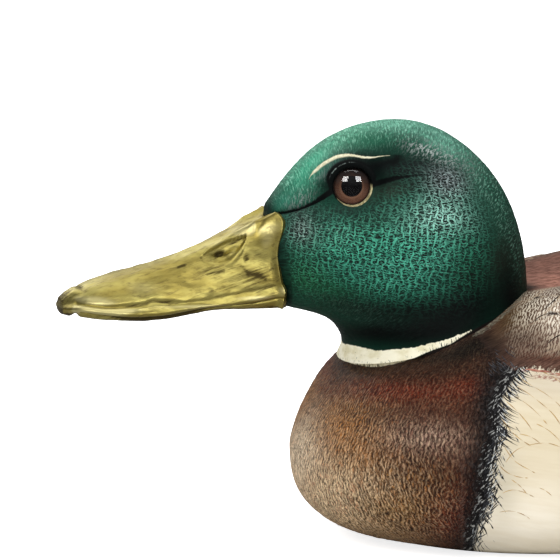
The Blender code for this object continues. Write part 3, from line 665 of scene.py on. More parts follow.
def paint_neck_ring(mat):
    """The ivory ring: a soft line above, nicked below, with dark flecks."""
    lower = nicked_ring_edge(mat, "at_side")
    upper = mat.swing(mat.grain("at_side", 1.2, 0.3, rough=0.6), 3.2)
    upper = mat.plus(mat.attr("ring_top"), upper)
    ring = mat.step(mat.calc("MINIMUM", upper, lower), -0.35, 0.45)
    tone = mat.step(mat.fleck((0.22, 0.22, 0.4), detail=3.0), 0.4, 0.7)
    flecks = mat.step(mat.fleck((1.6, 1.6, 2.4), rough=0.6), 0.68, 0.73, 0.0, 0.95)
    mat.over(ring, mat.mix(flecks, mat.mix(tone, "#e9e4cd", "#d3cba9"), "#1d1d1b"))


def head_material():
    mat = Paint("painted_head_carving")
    base, bright = mat.hue("paint"), mat.hue("bright")
    teal, crown = mat.attr("teal"), mat.attr("crown")
    net, clump, dash = head_net(mat)
    mat.colour = base
    mat.over(mat.times(mat.minus(1.0, net), mat.times(teal, 0.92)),
             mat.mix(mat.step(clump, 0.42, 0.58), "#060c0a", "#171b1a"))
    # The strands in their stored colours: teal paint, with painted highlights where the colours
    # turn grey and pale.
    mat.over(mat.times(teal, net), bright)
    mat.over(mat.times(mat.times(teal, mat.step(net, 0.7, 1.0)), 0.10), "#8ff5d8")
    # Painted glints: pale highlights flecked over the strands behind the eye, on the cheek and by
    # the bill.
    glint = mat.times(net, mat.step(dash, 0.60, 0.70))
    glint = mat.times(glint, mat.times(teal, mat.attr("painted_glint")))
    mat.over(mat.times(glint, 0.85), "#c9dad6")
    # Fine hair strokes over the crown and nape.
    hair = mat.grain("at_comb", 2.3, 0.45, warp=(0.35, 1.2), rough=0.6)
    fine = mat.grain("at_comb", 1.7, 0.7, turn=24, warp=(0.4, 1.0), detail=3.0, rough=0.65)
    mat.over(mat.times(crown, mat.step(hair, 0.50, 0.60, 0.0, 0.55)), "#173a2d")
    mat.over(mat.times(crown, mat.step(hair, 0.35, 0.46, 0.60, 0.0)), "#9bd6bd")
    mat.over(mat.times(crown, mat.step(fine, 0.36, 0.46, 0.45, 0.0)), "#6fc3a2")
    # Grey-white strokes where the grey mask is on: a painted highlight.
    mat.over(mat.times(mat.attr("grey"), mat.step(fine, 0.48, 0.60, 0.0, 0.85)), "#b0b8b5")
    # A faint comb all over.
    speck = mat.fleck(2.6, rough=0.7)
    mat.over(mat.step(speck, 0.54, 0.72, 0.0, 0.45), "#050807")
    mat.over(mat.step(speck, 0.30, 0.42, 0.14, 0.0), mat.mix(0.85, "#1d4438", base))
    # Eye line: a black stroke each side of the eye.
    nick = mat.fleck((1.5, 1.5, 0.8))
    rough_edge = mat.swing(nick, 2.0)
    for name in ("front", "rear"):
        inside = mat.band(name + "_w", name + "_d")
        mat.over(mat.step(mat.plus(inside, rough_edge), -0.6, 0.7), "#060909")
    paint_lids(mat, nick)
    # Brow line in ivory.
    brow = mat.plus(mat.band("brow_w", "brow_d"), mat.times(rough_edge, 0.25))
    ivory = mat.mix(mat.step(nick, 0.35, 0.65), "#e3dec2", "#c6c09f")
    mat.over(mat.step(brow, -0.30, 0.35), ivory)
    paint_neck_ring(mat)
    sheen = mat.times(mat.fleck((0.8, 0.8, 2.0), detail=3.0), 0.25)
    mat.set("Roughness", mat.plus(0.42, sheen))
    mat.set("Specular IOR Level",
            mat.calc("MULTIPLY_ADD", mat.calc("MAXIMUM", teal, crown), 0.075, 0.05))
    return mat.finish((mat.times(net, teal), 0.16), (mat.times(hair, crown), 0.16), (speck, 0.05))


# Spots on the sheet: centre x, y, radii x, y, degrees, colour (none in masks), strength.
HEAD_SPOTS = rows("""345 130 44 16 -26 #5da486 .9, 398 122 46 10 2 #6aa991 .9,
    300 172 26 16 -48 #3a8d70 .95, 318 158 20 8 -42 #4cae8c .7, 283 203 14 9 -30 #2c6f5b .8,
    444 140 34 13 34 #5a8f7c .9, 372 138 30 7 -4 #1d5a43 .6, 352 146 30 4 -10 #215c45 .5,
    478 176 22 12 58 #3d6b59 .8, 502 214 12 36 -20 #1c3f32 .85, 516 250 7 30 -12 #1a2c25 .85,
    332 166 16 5 -38 #426f64 .8, 358 163 18 6 4 #0a1211 .9, 392 165 34 9 2 #0b1110 .98,
    404 172 32 9 0 #0c0f0f .95, 428 169 30 12 12 #151819 .97, 458 184 20 20 30 #29322f .8,
    415 186 40 9 0 #101513 .9, 392 194 22 11 0 #23261f .95, 345 212 24 7 0 #26332d .8,
    378 206 14 8 0 #262c26 .8, 410 202 26 8 0 #0f2b21 .8, 365 214 40 9 -8 #16231f .85,
    300 212 18 8 0 #161c1b .9, 298 232 15 16 0 #252f2c .9, 330 236 26 18 0 #1d3d34 .85,
    295 268 16 26 0 #0f3020 .9, 325 286 26 14 14 #134229 .85, 360 262 36 22 0 #163f34 .9,
    420 240 50 34 0 #184538 .9, 430 276 44 18 0 #113a2d .85, 476 236 18 34 0 #122b22 .9,
    488 200 12 30 -20 #1e3a2f .7, 470 278 22 22 0 #07190f .9, 503 262 18 34 0 #191c16 .95,
    355 306 50 9 12 #0a1a12 .9, 404 310 56 14 0 #060d0a .95, 462 308 58 28 -20 #010202 1,
    380 332 60 13 0 #040706 1, 430 330 60 16 -8 #020404 1, 512 296 14 30 0 #040707 1""")
# Strand colours: teal paint, except the grey and pale spots at (446, 178), (440, 218) and (303,
# 228), which are painted highlights.
BRIGHT_SPOTS = rows("""446 178 30 24 15 #a3a7ad .9, 440 218 38 18 0 #b4f0de .9,
    303 228 18 18 0 #7d8a86 .9, 338 232 24 14 0 #55a98c .8, 305 280 26 24 0 #22703f .85,
    345 292 36 12 10 #1b6b44 .8, 405 262 46 24 0 #4bb395 .8, 440 250 24 24 0 #55b096 .7,
    372 218 34 9 0 #3d7c64 .8, 470 270 26 34 0 #0f6b4b .8""")
TEAL_SPOTS = rows("""350 246 42 28 0 .95, 405 248 44 34 0 1, 440 222 30 40 8 .95,
    312 272 22 20 0 .55, 385 284 50 13 0 .5, 302 232 16 17 0 .85, 450 187 18 15 28 .66,
    404 170 26 9 0 .04, 326 174 16 8 -40 .5, 468 252 18 30 0 .35""")
CROWN_SPOTS = rows("""340 132 46 20 -25 .9, 400 124 50 15 5 .95, 295 178 26 20 -45 .8,
    452 142 34 13 34 .9, 486 178 14 30 -30 .6, 504 216 10 30 -16 .35, 517 250 8 30 -8 .2,
    345 306 50 12 15 .12""")
# Where grey-white painted highlights lie over the hair strokes.
GREY_HIGHLIGHT_SPOTS = rows("""447 159 16 8 26 .5, 424 149 18 7 16 .85, 300 200 14 8 -30 .4,
    470 165 10 14 -30 .15, 325 170 14 5 -40 .4""")
# Where the strands carry painted glints, pale highlights.
PAINTED_GLINT_SPOTS = rows("""445 205 26 30 10 1, 440 170 24 12 20 .9, 304 228 15 16 0 1,
    335 228 22 12 0 .5, 415 268 40 14 0 .35""")


# ------------------------------------------------------------------ head
def head_relief(points, normals, drawn, brow, front, rear):
    """Height of the carving over the plain head, in mm."""
    push = np.zeros(len(points))
    # Brow: the wood below the drawn brow is cut back in a channel that holds the eye.
    gap, side, along = brow
    below = side > 0
    depth = 1.45 * ease(0, 0.12, along) * (1 - ease(0.72, 1.0, along))
    push -= np.where(below, ease(-0.6, 2.6, gap) * (1 - ease(11, 23, gap)), 0) * depth
    ridge = np.where(~below, bell(gap, 4.2, 2.0), bell(gap, 1.2) * 0.5)
    push += ridge * 0.42 * ease(0, 0.1, along) * (1 - ease(0.78, 1, along))
    # Eye-line grooves fore and aft of the eye.
    gap, side, along = front
    push -= 0.85 * bell(gap, 1.9) * ease(0.0, 0.1, along) * (1 - 0.2 * ease(0.9, 1, along))
    push -= 0.60 * bell(rear[0], 1.8) * (1 - ease(0.35, 1, rear[2]))
    push += 0.30 * bell(gap, 4.0, 5) * (side > 0)
    # Cheek and throat modelling.
    push += 0.9 * blob(drawn, 415, 250, 62, 44)
    push -= 0.7 * blob(drawn, 400, 193, 55, 15)
    push -= 0.5 * blob(drawn, 318, 228, 26, 20)
    push *= np.clip(np.abs(normals[:, 0]) * 1.6, 0, 1)
    # Tool marks.
    push += (fractal(points * [0.5, 0.22, 0.5], 3, 7) - 0.5) * 0.22
    push += (value_noise(points * [1.3, 0.9, 1.9], 17) - 0.5) * 0.10
    return push


def carve_eyes(carved, plain_x):
    """Sockets and lids about each eye's own axis; also the distance from it, 99 elsewhere."""
    lid_distance = np.full(len(carved), 99.0)
    for _, sign in SIDES:
        axis = eye_axis(sign)
        centre = np.array(EYE_AT) * [sign, 1, 1]
        offset = carved - centre
        height = offset @ axis
        radial = offset - height[:, None] * axis
        radius = np.linalg.norm(radial, axis=1)
        near = (height > -9) & (radius < 14) & (np.sign(plain_x) == sign)
        up = np.where(radius > 1e-6, radial[:, 2] / np.maximum(radius, 1e-6), 0)
        # Surroundings are faired to the eye's own plane.
        target = 0.62 + 0.12 * up - 1.15 * ease(6.6, 9.5, radius)
        weight = (1 - ease(6.6, 12.0, radius)) * near
        lifted = height * (1 - weight) + np.minimum(target, height + 6) * weight
        # The lid: a low roll, heavier above.
        upper = ease(-0.3, 0.6, up)
        roll = bell(radius - 5.75 - 0.3 * upper, 0.55 + 0.45 * upper)
        lifted = lifted + (0.02 + 0.55 * ease(-0.25, 0.5, up)) * roll * near
        # The socket.
        cup = (1 - ease(4.70, 4.98, radius)) * near
        lifted = lifted * (1 - cup) + (-2.9) * cup
        moved = centre + radial + lifted[:, None] * axis
        carved = np.where(near[:, None], moved, carved)
        lid_distance = np.where(near, radius, lid_distance)
    return carved, lid_distance


def taper_stub(carved, share):
    """The wood runs on inside the bill as a tapered stub."""
    stub = ease(0.985, 1.0, share)
    middle = 75.0
    carved[:, 1] -= 4.2 * stub * ease(90.0, 82.0, carved[:, 2])
    carved[:, 0] *= 1 - 0.34 * stub
    taper = np.where(carved[:, 2] > middle, 0.36, 0.24)
    carved[:, 2] = middle + (carved[:, 2] - middle) * (1 - taper * stub)


def head_paint(drawn, share, brow, front, rear, lid_distance):
    """Stored paint: colours, masks and line distances of the head."""
    ring_top, ring_low, past = ring_edges(drawn)
    gap, side, along = brow
    below = side > 0
    # Dark where the wood meets the bill, and in the channel below the brow.
    at_bill = bell(1 - share, 0.020)
    strip = np.where(below, bell(gap, 2.6, 4.0), 0) * ease(0.05, 0.15, along)
    strip = strip * (1 - ease(0.38, 0.60, along)) * 0.85
    channel = np.where(below & (gap < 26), bell(gap, 5.0, 6.5), 0) * ease(0.35, 0.55, along) * 0.9
    foot = ease(-0.5, 1.0, -ring_low) * ease(300, 330, drawn[:, 1])
    paint = airbrush(drawn, "#0f3327", HEAD_SPOTS)
    for weight, code in ((0.95 * at_bill, "#050808"), (channel, "#050808"), (strip, "#4f8475"),
                         (foot, "#130d0b")):
        paint = tint(paint, weight, code)
    below_eye = drawn[:, 1] > sheet(np.array([EYE_AT]))[0][1]
    teal = soft_mask(drawn, TEAL_SPOTS) * (1 - foot) * (1 - np.clip(channel + at_bill, 0, 1))
    teal = teal * ease(7.0, 12.0, lid_distance + 3 * below_eye)
    # Half widths of the drawn strokes, negative past their ends.
    brow_w = 0.66 * ease(0.0, 0.16, along) * (1 - 0.25 * ease(0.45, 0.6, along))
    brow_w = brow_w * (1 - 0.75 * ease(0.70, 1.0, along))
    brow_w = brow_w - 3.0 * (along < 0.004) - 3.0 * (along > 0.996)
    front_w = (1.5 + 1.9 * ease(0.5, 1.0, front[2])) * ease(0.0, 0.2, front[2])
    front_w = front_w - 3.0 * (front[2] > 0.997)
    rear_w = 2.9 * (1 - 0.85 * ease(0.1, 0.9, rear[2])) - 5.0 * (rear[2] > 0.985)
    brow_d, front_d, rear_d = (np.clip(signed(*line[:2]), -30, 30)
                               for line in (brow, front, rear))
    return {
        "paint": paint, "bright": airbrush(drawn, "#3c9f80", BRIGHT_SPOTS), "teal": teal,
        "crown": soft_mask(drawn, CROWN_SPOTS), "grey": soft_mask(drawn, GREY_HIGHLIGHT_SPOTS),
        "painted_glint": soft_mask(drawn, PAINTED_GLINT_SPOTS), "brow_d": brow_d, "brow_w": brow_w,
        "front_d": front_d, "front_w": front_w, "rear_d": rear_d, "rear_w": rear_w,
        "ring_top": ring_top - past, "ring_low": ring_low - past}


def build_head():
    along = stations((0, 0.10, 46), (0.10, 0.62, 130), (0.62, 1.0, 150))
    count = 296
    grid = head_rings(along, count)
    points, normals = skin(grid)
    drawn = sheet(points)
    share = np.repeat(along, count)
    lines = [line_distance(drawn, line) for line in (BROW, EYE_LINE_FRONT, EYE_LINE_REAR)]
    carved = points + normals * head_relief(points, normals, drawn, *lines)[:, None]
    carved, lid_distance = carve_eyes(carved, points[:, 0])
    taper_stub(carved, share)
    # Positions for the strokes: level girth and height for the sides, arc lengths for the crown.
    x, aft, z = points.T
    girth = (aft - 26) + np.sign(aft - 26) * np.maximum(17 - np.abs(x), 0) * 0.8
    steps = np.linalg.norm(np.diff(spline(CROWN, along), axis=0), axis=1)
    crest = np.concatenate([[0], np.cumsum(steps)])
    steps = np.linalg.norm(np.diff(grid, axis=1), axis=2)
    around = np.cumsum(np.concatenate([np.zeros((len(along), 1)), steps], 1), 1)
    to_top = np.abs(around - around[:, count // 2][:, None]).reshape(-1)
    attributes = head_paint(drawn, share, *lines, lid_distance)
    attributes["at_side"] = flat_map(girth, z)
    attributes["at_comb"] = flat_map(np.repeat(crest, count), to_top)
    head = mesh_object("head_carved", carved, grid_faces(len(along), count), head_material(),
                       attributes)
    enrol(head, "painted_head", "head")


# ------------------------------------------------------------------ body paint
def paint_breast(mat, breast, stroke):
    """Fine upright combing, pale on the ridges, partly paint and partly a painted highlight, and
    dark in the cuts; also its bump layers.
    """
    light = mat.hue("light")
    dabs = mat.stretch(mat.warp(mat.mm(), 0.5, 1.5), (1 / 0.72, 1 / 0.72, 1 / 2.1), (-9, 0, 0))
    cut = mat.voronoi(dabs)["Distance"]
    tones = mat.split(mat.voronoi(dabs, feature="F1")["Color"])
    fine = mat.noise(mat.stretch(mat.warp(mat.mm(), 0.5, 1.5), (1.55, 1.55, 0.42), (7, 0, 0)),
                     rough=0.6)
    seam = mat.stretch(mat.warp(mat.mm(), 0.3, 3.0), (1.0, 1.0, 0.33), (-6, 0, 0))
    seam = mat.size(mat.minus(mat.noise(seam, rough=0.6), 0.5))
    ridge = mat.step(cut, 0.03, 0.26)
    patch = mat.fleck((0.10, 0.10, 0.13), detail=3.0, rough=0.6)
    amount = mat.times(mat.times(breast, stroke), mat.step(patch, 0.25, 0.60, 0.75, 1.0))

    def highlight():
        return mat.mix(0.30, light, "#f6e2c8")

    def stroked():
        return mat.times(breast, mat.step(stroke, 0.0, 0.5, 0.35, 1.0))

    mat.over(mat.times(amount, mat.times(mat.step(ridge, 0.0, 1.0, 0.45, 1.0),
                                         mat.step(tones[0], 0.0, 0.9, 0.35, 0.85))), light)
    warm = mat.times(ridge, mat.step(tones[1], 0.52, 0.80, 0.0, 0.6))
    mat.over(mat.times(amount, warm), mat.hue("warm"))
    mat.over(mat.times(amount, mat.step(fine, 0.50, 0.60, 0.0, 0.75)), highlight())
    mat.over(mat.times(stroked(), mat.step(seam, 0.010, 0.045, 0.62, 0.0)), "#1a100c")
    mat.over(mat.times(stroked(), mat.step(cut, 0.02, 0.13, 0.44, 0.0)), "#1a100c")
    mat.over(mat.times(breast, mat.step(fine, 0.34, 0.44, 0.65, 0.0)), "#170e0c")
    drift = mat.grain("at_breast", 0.17, 0.26, rough=0.55)
    comb = mat.place("at_breast", 1, 1, warp=(0.35, 1.2))
    comb = mat.lines(comb, axis=0, pitch=1.15, sway=drift, amount=4.2)
    broken = mat.grain("at_breast", 0.7, 0.42, rough=0.6)
    combed = mat.times(breast, mat.step(stroke, 0.05, 0.6, 0.25, 1.0))
    dark = mat.times(mat.step(comb, 0.30, 0.06), mat.step(broken, 0.40, 0.52, 0.08, 0.55))
    mat.over(mat.times(combed, dark), "#1c110c")
    pale = mat.times(mat.step(comb, 0.72, 0.96), mat.step(broken, 0.42, 0.54, 0.05, 0.42))
    mat.over(mat.times(amount, pale), mat.mix(0.55, light, "#f6e2c8"))
    mat.over(breast, mat.mix(1.0, mat.colour, "#fff5e0", "MULTIPLY"))
    layers = ((mat.times(comb, breast), 0.10),
              (mat.times(mat.step(seam, 0.0, 0.07), breast), 0.16),
              (mat.times(ridge, breast), 0.08), (mat.times(fine, breast), 0.16))
    return fine, layers


def paint_flank(mat, flank, fine):
    """Warm ivory with brush marks and grey waves, feathered into the breast's dark edge."""
    brush = mat.grain("at_plan", 0.06, 0.5, turn=-8, detail=3.0, rough=0.6)
    ivory = mat.mix(mat.step(brush, 0.35, 0.68, 0.0, 0.5), mat.hue("ivory"),
                    mat.mix(1.0, mat.hue("ivory"), "#f4f0e8", "MULTIPLY"))
    wave = mat.wave(mat.place("at_back", 0.10, 0.55, warp=(0.08, 5.0)), scale=0.55,
                    distortion=2.0, direction="Y")
    waves = mat.times(mat.attr("vermic"), mat.step(wave, 0.70, 0.95, 0.0, 0.45))
    ivory = mat.mix(waves, ivory, "#8a8172")
    # Black hairs over ivory, white dabs over black.
    sweep = mat.grain("at_plan", 0.20, 2.3, turn=-56, warp=(0.10, 3.0), rough=0.6)
    cross = mat.grain("at_plan", 0.55, 1.9, turn=44, warp=(0.25, 2.0), rough=0.6)
    reach = mat.minus(mat.step(sweep, 0.44, 0.78, -3.0, 24.0), flank)
    black = mat.calc("MAXIMUM", mat.step(flank, 3.0, -2.5), mat.step(reach, -0.8, 1.2))
    rim = mat.step(mat.plus(flank, mat.swing(cross, 26.0)), -46.0, -6.0)
    mat.over(mat.times(rim, mat.attr("rimdark")),
             mat.mix(mat.step(fine, 0.5, 0.62, 0.0, 0.35), "#0b0a0b", "#3a3a3d"))
    dab = mat.times(mat.step(flank, -15.0, -7.0), mat.attr("rimdark"))
    dab = mat.times(mat.step(cross, 0.55, 0.61), dab)
    mat.over(mat.times(dab, 0.45), "#c9cac6")
    clear = mat.minus(1.0, mat.times(black, mat.step(flank, 30.0, 22.0)))
    mat.over(mat.times(mat.step(flank, -3.0, 0.0), clear), ivory)
    return brush


def paint_back(mat, flank):
    """Brown feathers hatched with short cream strokes, darker towards the cuts between."""
    hatch = mat.grain("at_back", 0.62, 3.0, turn=64, warp=(0.20, 1.6))
    sway = mat.grain("at_back", 0.30, 0.30)
    hatch_lines = mat.lines(mat.place("at_back", 1, 1, turn=64, warp=(0.3, 0.6)), axis=1,
                            pitch=0.80, sway=sway, amount=2.2)
    hatch_lines = mat.calc("MULTIPLY_ADD", hatch_lines, 0.30, 0.355)
    hatch = mat.plus(mat.times(hatch, 0.62), mat.times(hatch_lines, 0.38))
    grain = mat.grain("at_back", 0.35, 1.9, warp=(0.2, 1.5), detail=3.0, rough=0.6)
    brown = mat.mix(mat.step(grain, 0.40, 0.62, 0.0, 0.75), mat.hue("shoulder"),
                    mat.mix(1.0, mat.hue("shoulder"), "#8d7a70", "MULTIPLY"))
    brown = mat.mix(mat.times(mat.step(hatch, 0.485, 0.54), mat.attr("cream")), brown,
                    mat.hue("hatchcolour"))
    brown = mat.mix(mat.times(mat.step(hatch, 0.40, 0.455, 0.5, 0.0), mat.attr("cream")),
                    brown, "#2f2019")
    cuts = mat.times(mat.step(mat.attr("gap"), 0.15, 0.75, 0.85, 0.0), mat.attr("laid"))
    brown = mat.mix(cuts, brown, "#150e0b")
    fringe = mat.times(mat.step(mat.attr("gap"), 0.5, 0.9), mat.step(mat.attr("gap"), 1.8, 1.1))
    fringe = mat.times(fringe, mat.times(mat.attr("laid"), 0.6))
    brown = mat.mix(fringe, brown, mat.hue("fringecolour"))
    mess = mat.grain("at_back", 0.8, 1.3, turn=20, warp=(0.2, 1.5), detail=3.0, rough=0.65)
    inside = mat.plus(mat.attr("scap"), mat.swing(mess, 14.0))
    mat.over(mat.step(inside, -1.6, 1.6), brown)
    rusty = mat.step(mat.size(mat.plus(inside, 5.0)), 0.5, 3.2, 1.0, 0.0)
    rusty = mat.times(rusty, mat.step(flank, 6.0, 20.0))
    mat.over(mat.times(rusty, mat.step(mess, 0.40, 0.55, 0.2, 0.85)), "#7e4138")
    mat.over(mat.attr("solid"), mat.hue("solidcolour"))
    return hatch, mess


def body_material():
    mat = Paint("painted_body_carving", roughness=0.55)
    mat.colour = mat.hue("paint")
    breast, flank = mat.attr("breast"), mat.attr("flank")
    fine, breast_bumps = paint_breast(mat, breast, mat.attr("stroke"))
    brush = paint_flank(mat, flank, fine)
    hatch, mess = paint_back(mat, flank)
    # Worn bare line where the neck seats, and the foot of the neck ring.
    worn = mat.step(mat.plus(mat.attr("seat"), mat.swing(mess, 10.0)), 2.6, 0.6)
    mat.over(mat.times(worn, 0.7), mat.mix(mat.step(fine, 0.46, 0.56), "#5d5c52", "#8b8774"))
    lower = nicked_ring_edge(mat, "at_plan")
    ring = mat.step(mat.calc("MINIMUM", mat.attr("ring_top"), lower), 1.0, 1.8)
    mat.over(ring, "#efe8d0")
    sheen = mat.times(mat.fleck((0.5, 0.5, 0.9), detail=3.0), 0.25)
    mat.set("Roughness", mat.plus(0.46, sheen))
    mat.set("Specular IOR Level", 0.12)
    return mat.finish(*breast_bumps, (mat.times(hatch, mat.attr("cream")), 0.12),
                      (mat.times(brush, 1.0), 0.06))


# Breast colours. The pale spots at the front and lower front, from (298, 424) to (348, 520), are
# painted light, a rim and a sheen; the pinkish spot at (415, 436) is a painted broad highlight; the
# black spot at (472, 348), where neck, breast and shoulder meet, is painted shadow.
BREAST_SPOTS = rows("""400 376 100 10 0 #2a120d .9, 386 394 62 10 0 #74260f .92,
    470 388 28 11 -6 #661f0d .9, 505 368 24 12 -20 #190f0d .9, 330 378 20 10 -30 #2a1c18 .85,
    352 393 26 9 0 #4a200f .8, 318 392 14 16 -50 #5b3d2f .8, 345 402 24 12 0 #4a260f .85,
    298 424 12 30 8 #8b6656 .9, 335 432 30 24 0 #94623a .85, 362 462 34 22 0 #8f5e2e .85,
    300 462 24 46 0 #fff0e2 1, 316 498 26 14 45 #f6dcbc .95, 348 520 40 11 20 #e0c094 .95,
    388 533 40 8 12 #c39c70 .9, 328 492 40 28 15 #e2c4a4 .95, 385 510 44 22 8 #6f5234 .85,
    360 532 60 9 12 #b3946a .7, 318 508 18 10 40 #c2aa88 .6, 430 407 50 12 0 #4b251b .8,
    415 436 54 16 5 #745750 .9, 470 450 22 15 0 #715650 .85, 425 476 34 14 0 #4f2f1c .75,
    470 490 26 28 0 #40180f .9, 457 524 24 26 0 #6a2415 .88, 412 361 80 6 -8 #100b0b .95,
    360 371 24 5 0 #140d0c .9, 472 348 36 13 -28 #040303 1, 505 347 12 14 0 #0b0a0b .95,
    490 400 16 30 10 #151112 .8""")
# Colour of the pale ridges of the breast's combing. Its pale spots at the front and lower front and
# the pinkish one at (425, 436) are painted light, a rim, a sheen and a broad highlight; the dark
# spot at (468, 345) is painted shadow by the neck.
LIGHT_SPOTS = rows("""345 514 60 18 22 #fff0da .95, 468 345 44 13 -24 #120e0e 1,
    335 490 60 40 0 #f0dfc6 .95, 425 436 60 20 0 #b09a95 .95, 345 425 40 36 0 #c99152 .85,
    300 450 18 60 0 #f6e6d4 .95, 400 390 90 12 0 #862c14 .95, 400 512 46 22 0 #b08a55 .8,
    455 520 30 30 0 #743020 .85, 440 480 40 14 0 #7d5a34 .7""")
# Warm ridge colours; the dark spot at (468, 345) is painted shadow by the neck, and the pinkish one
# at (440, 440) is part of the painted broad highlight.
WARM_SPOTS = rows("""468 345 44 13 -24 #120e0e 1, 345 430 50 40 0 #c07a2c .9,
    330 490 40 30 0 #b8664a .8, 400 470 40 20 0 #a97a2e .8, 440 440 40 16 0 #8a6470 .8,
    400 388 90 14 0 #95280f .95""")
STROKE_SPOTS = rows("""330 480 66 62 0 1, 318 430 34 40 0 .8, 415 438 50 13 4 .75,
    400 500 44 40 0 .75, 350 400 30 16 0 .55, 440 520 34 26 0 .4, 400 392 80 12 0 .2""")
# Flank colours; the near-white spot low on the flank at (530, 536) is painted light, brightening
# the lower flank.
IVORY_SPOTS = rows("""545 430 60 60 0 #d1c5aa .9, 560 385 60 16 0 #c6bba6 .8,
    530 536 64 40 0 #faf4e6 1, 502 478 17 44 0 #b9b2a0 .8, 760 470 200 60 0 #cdbfa2 .6,
    1000 450 160 60 0 #c2b498 .7, 700 560 400 40 0 #ddd3bd .7""")
# Shoulder colours; the dark spot at (527, 294), in the hollow between the neck and the far
# shoulder, is painted shade.
SHOULDER_SPOTS = rows("""500 352 26 12 20 #2c1d17 .9, 486 340 20 12 20 #1c1311 .8,
    545 322 34 22 -30 #6e5848 .8, 513 319 22 12 -38 #5a4426 .9, 524 303 12 8 -38 #6a5234 .8,
    548 360 34 7 4 #523022 .9, 530 345 20 8 0 #5a4034 .7, 550 285 30 8 -28 #a98a76 .75,
    556 318 16 18 0 #a8927e .9, 527 294 9 8 -38 #2b221b .95, 534 306 9 8 -38 #6b5a48 .7,
    548 268 30 10 0 #a06f5c .8, 520 340 14 8 0 #3b2b23 .7""")
# Colours of the smooth nape patch; the pale spots at (548, 259) and (545, 270) are a painted
# highlight along its top, and the dark spot at (529, 290) is painted shade in the hollow by the
# neck.
NAPE_SPOTS = rows("""548 259 40 8 0 #f5c4ae .95, 545 270 40 7 4 #e0ab96 .9,
    545 286 34 6 -10 #523c38 .9, 508 318 20 14 -38 #524023 .9, 524 303 12 9 -38 #5f4a2c .85,
    529 290 10 8 -30 #2e2622 .95""")
HATCH_SPOTS = rows("""532 308 30 24 -30 #ddd2bd .92, 558 316 16 20 0 #fbf3e2 .95,
    520 345 20 10 0 #8f7c6a .8""")

# Kinds of feather.
BACK, RUMP, WING, PANEL, LONG_INNER = 1, 2, 3, 4, 5
# Panel colours on the secondaries: from, to (mm aft, slanted) and colour.
PANEL_BARS = rows("""184 226 #15161a, 184 187.5 #dcd8cc, 187.5 191.5 #0c0c10,
    191.5 209 #1b3577, 209 213.5 #0c0c10, 213.5 226 #d8d4c8""")


# ------------------------------------------------------------------ plumage
class Plumage:
    """Feathers in (aft, down from the centre line) mm, each laid over the ones before it."""

    def __init__(self, aft, down):
        self.aft, self.down = aft, down
        self.high = np.zeros(len(aft))          # relief, mm
        self.gap = np.full(len(aft), 9.0)       # distance inside the nearest feather edge, mm
        self.laid = np.zeros(len(aft))
        self.tone = np.full(len(aft), 0.5)
        self.kind = np.zeros(len(aft), int)

    def lay(self, root, tip, width, high, kind=BACK, tone=0.5, crown=0.35, slim=0.35):
        """One feather, widest at the share `slim` of its length, domed by `crown` mm."""
        run, drop = tip[0] - root[0], tip[1] - root[1]
        length = math.hypot(run, drop)
        aft, down = self.aft - root[0], self.down - root[1]
        share = (aft * run + down * drop) / length ** 2
        across = np.abs(aft * drop - down * run) / length
        fore = np.clip((slim - share) / slim, 0, 1)
        rear = np.clip((share - slim) / (1 - slim), 0, 1)
        half = width / 2 * np.maximum(1 - 0.35 * fore ** 2 - rear ** 2.6, 0)
        inside = np.minimum(half - across, (1 - share) * length * 0.8)
        inside = np.where(share > -0.02, inside, -1)
        weight = ease(0.0, 0.9, inside)
        dome = 1 - np.clip(across / np.maximum(half, 0.3), 0, 1) ** 2
        shape = high * (0.35 + 0.65 * np.clip(share, 0, 1)) + crown * dome * 0.5
        shape -= 0.10 * bell(across, 0.5)       # the shaft, cut in
        self.high = self.high * (1 - weight) + shape * weight
        on = inside > 0
        beside = np.where(inside > -1.2, np.minimum(self.gap, np.abs(inside)), self.gap)
        self.gap = np.where(on, inside, beside)
        self.laid = np.maximum(self.laid, ease(-0.6, 0.0, inside))
        self.tone = np.where(on, tone, self.tone)
        self.kind = np.where(on, kind, self.kind)


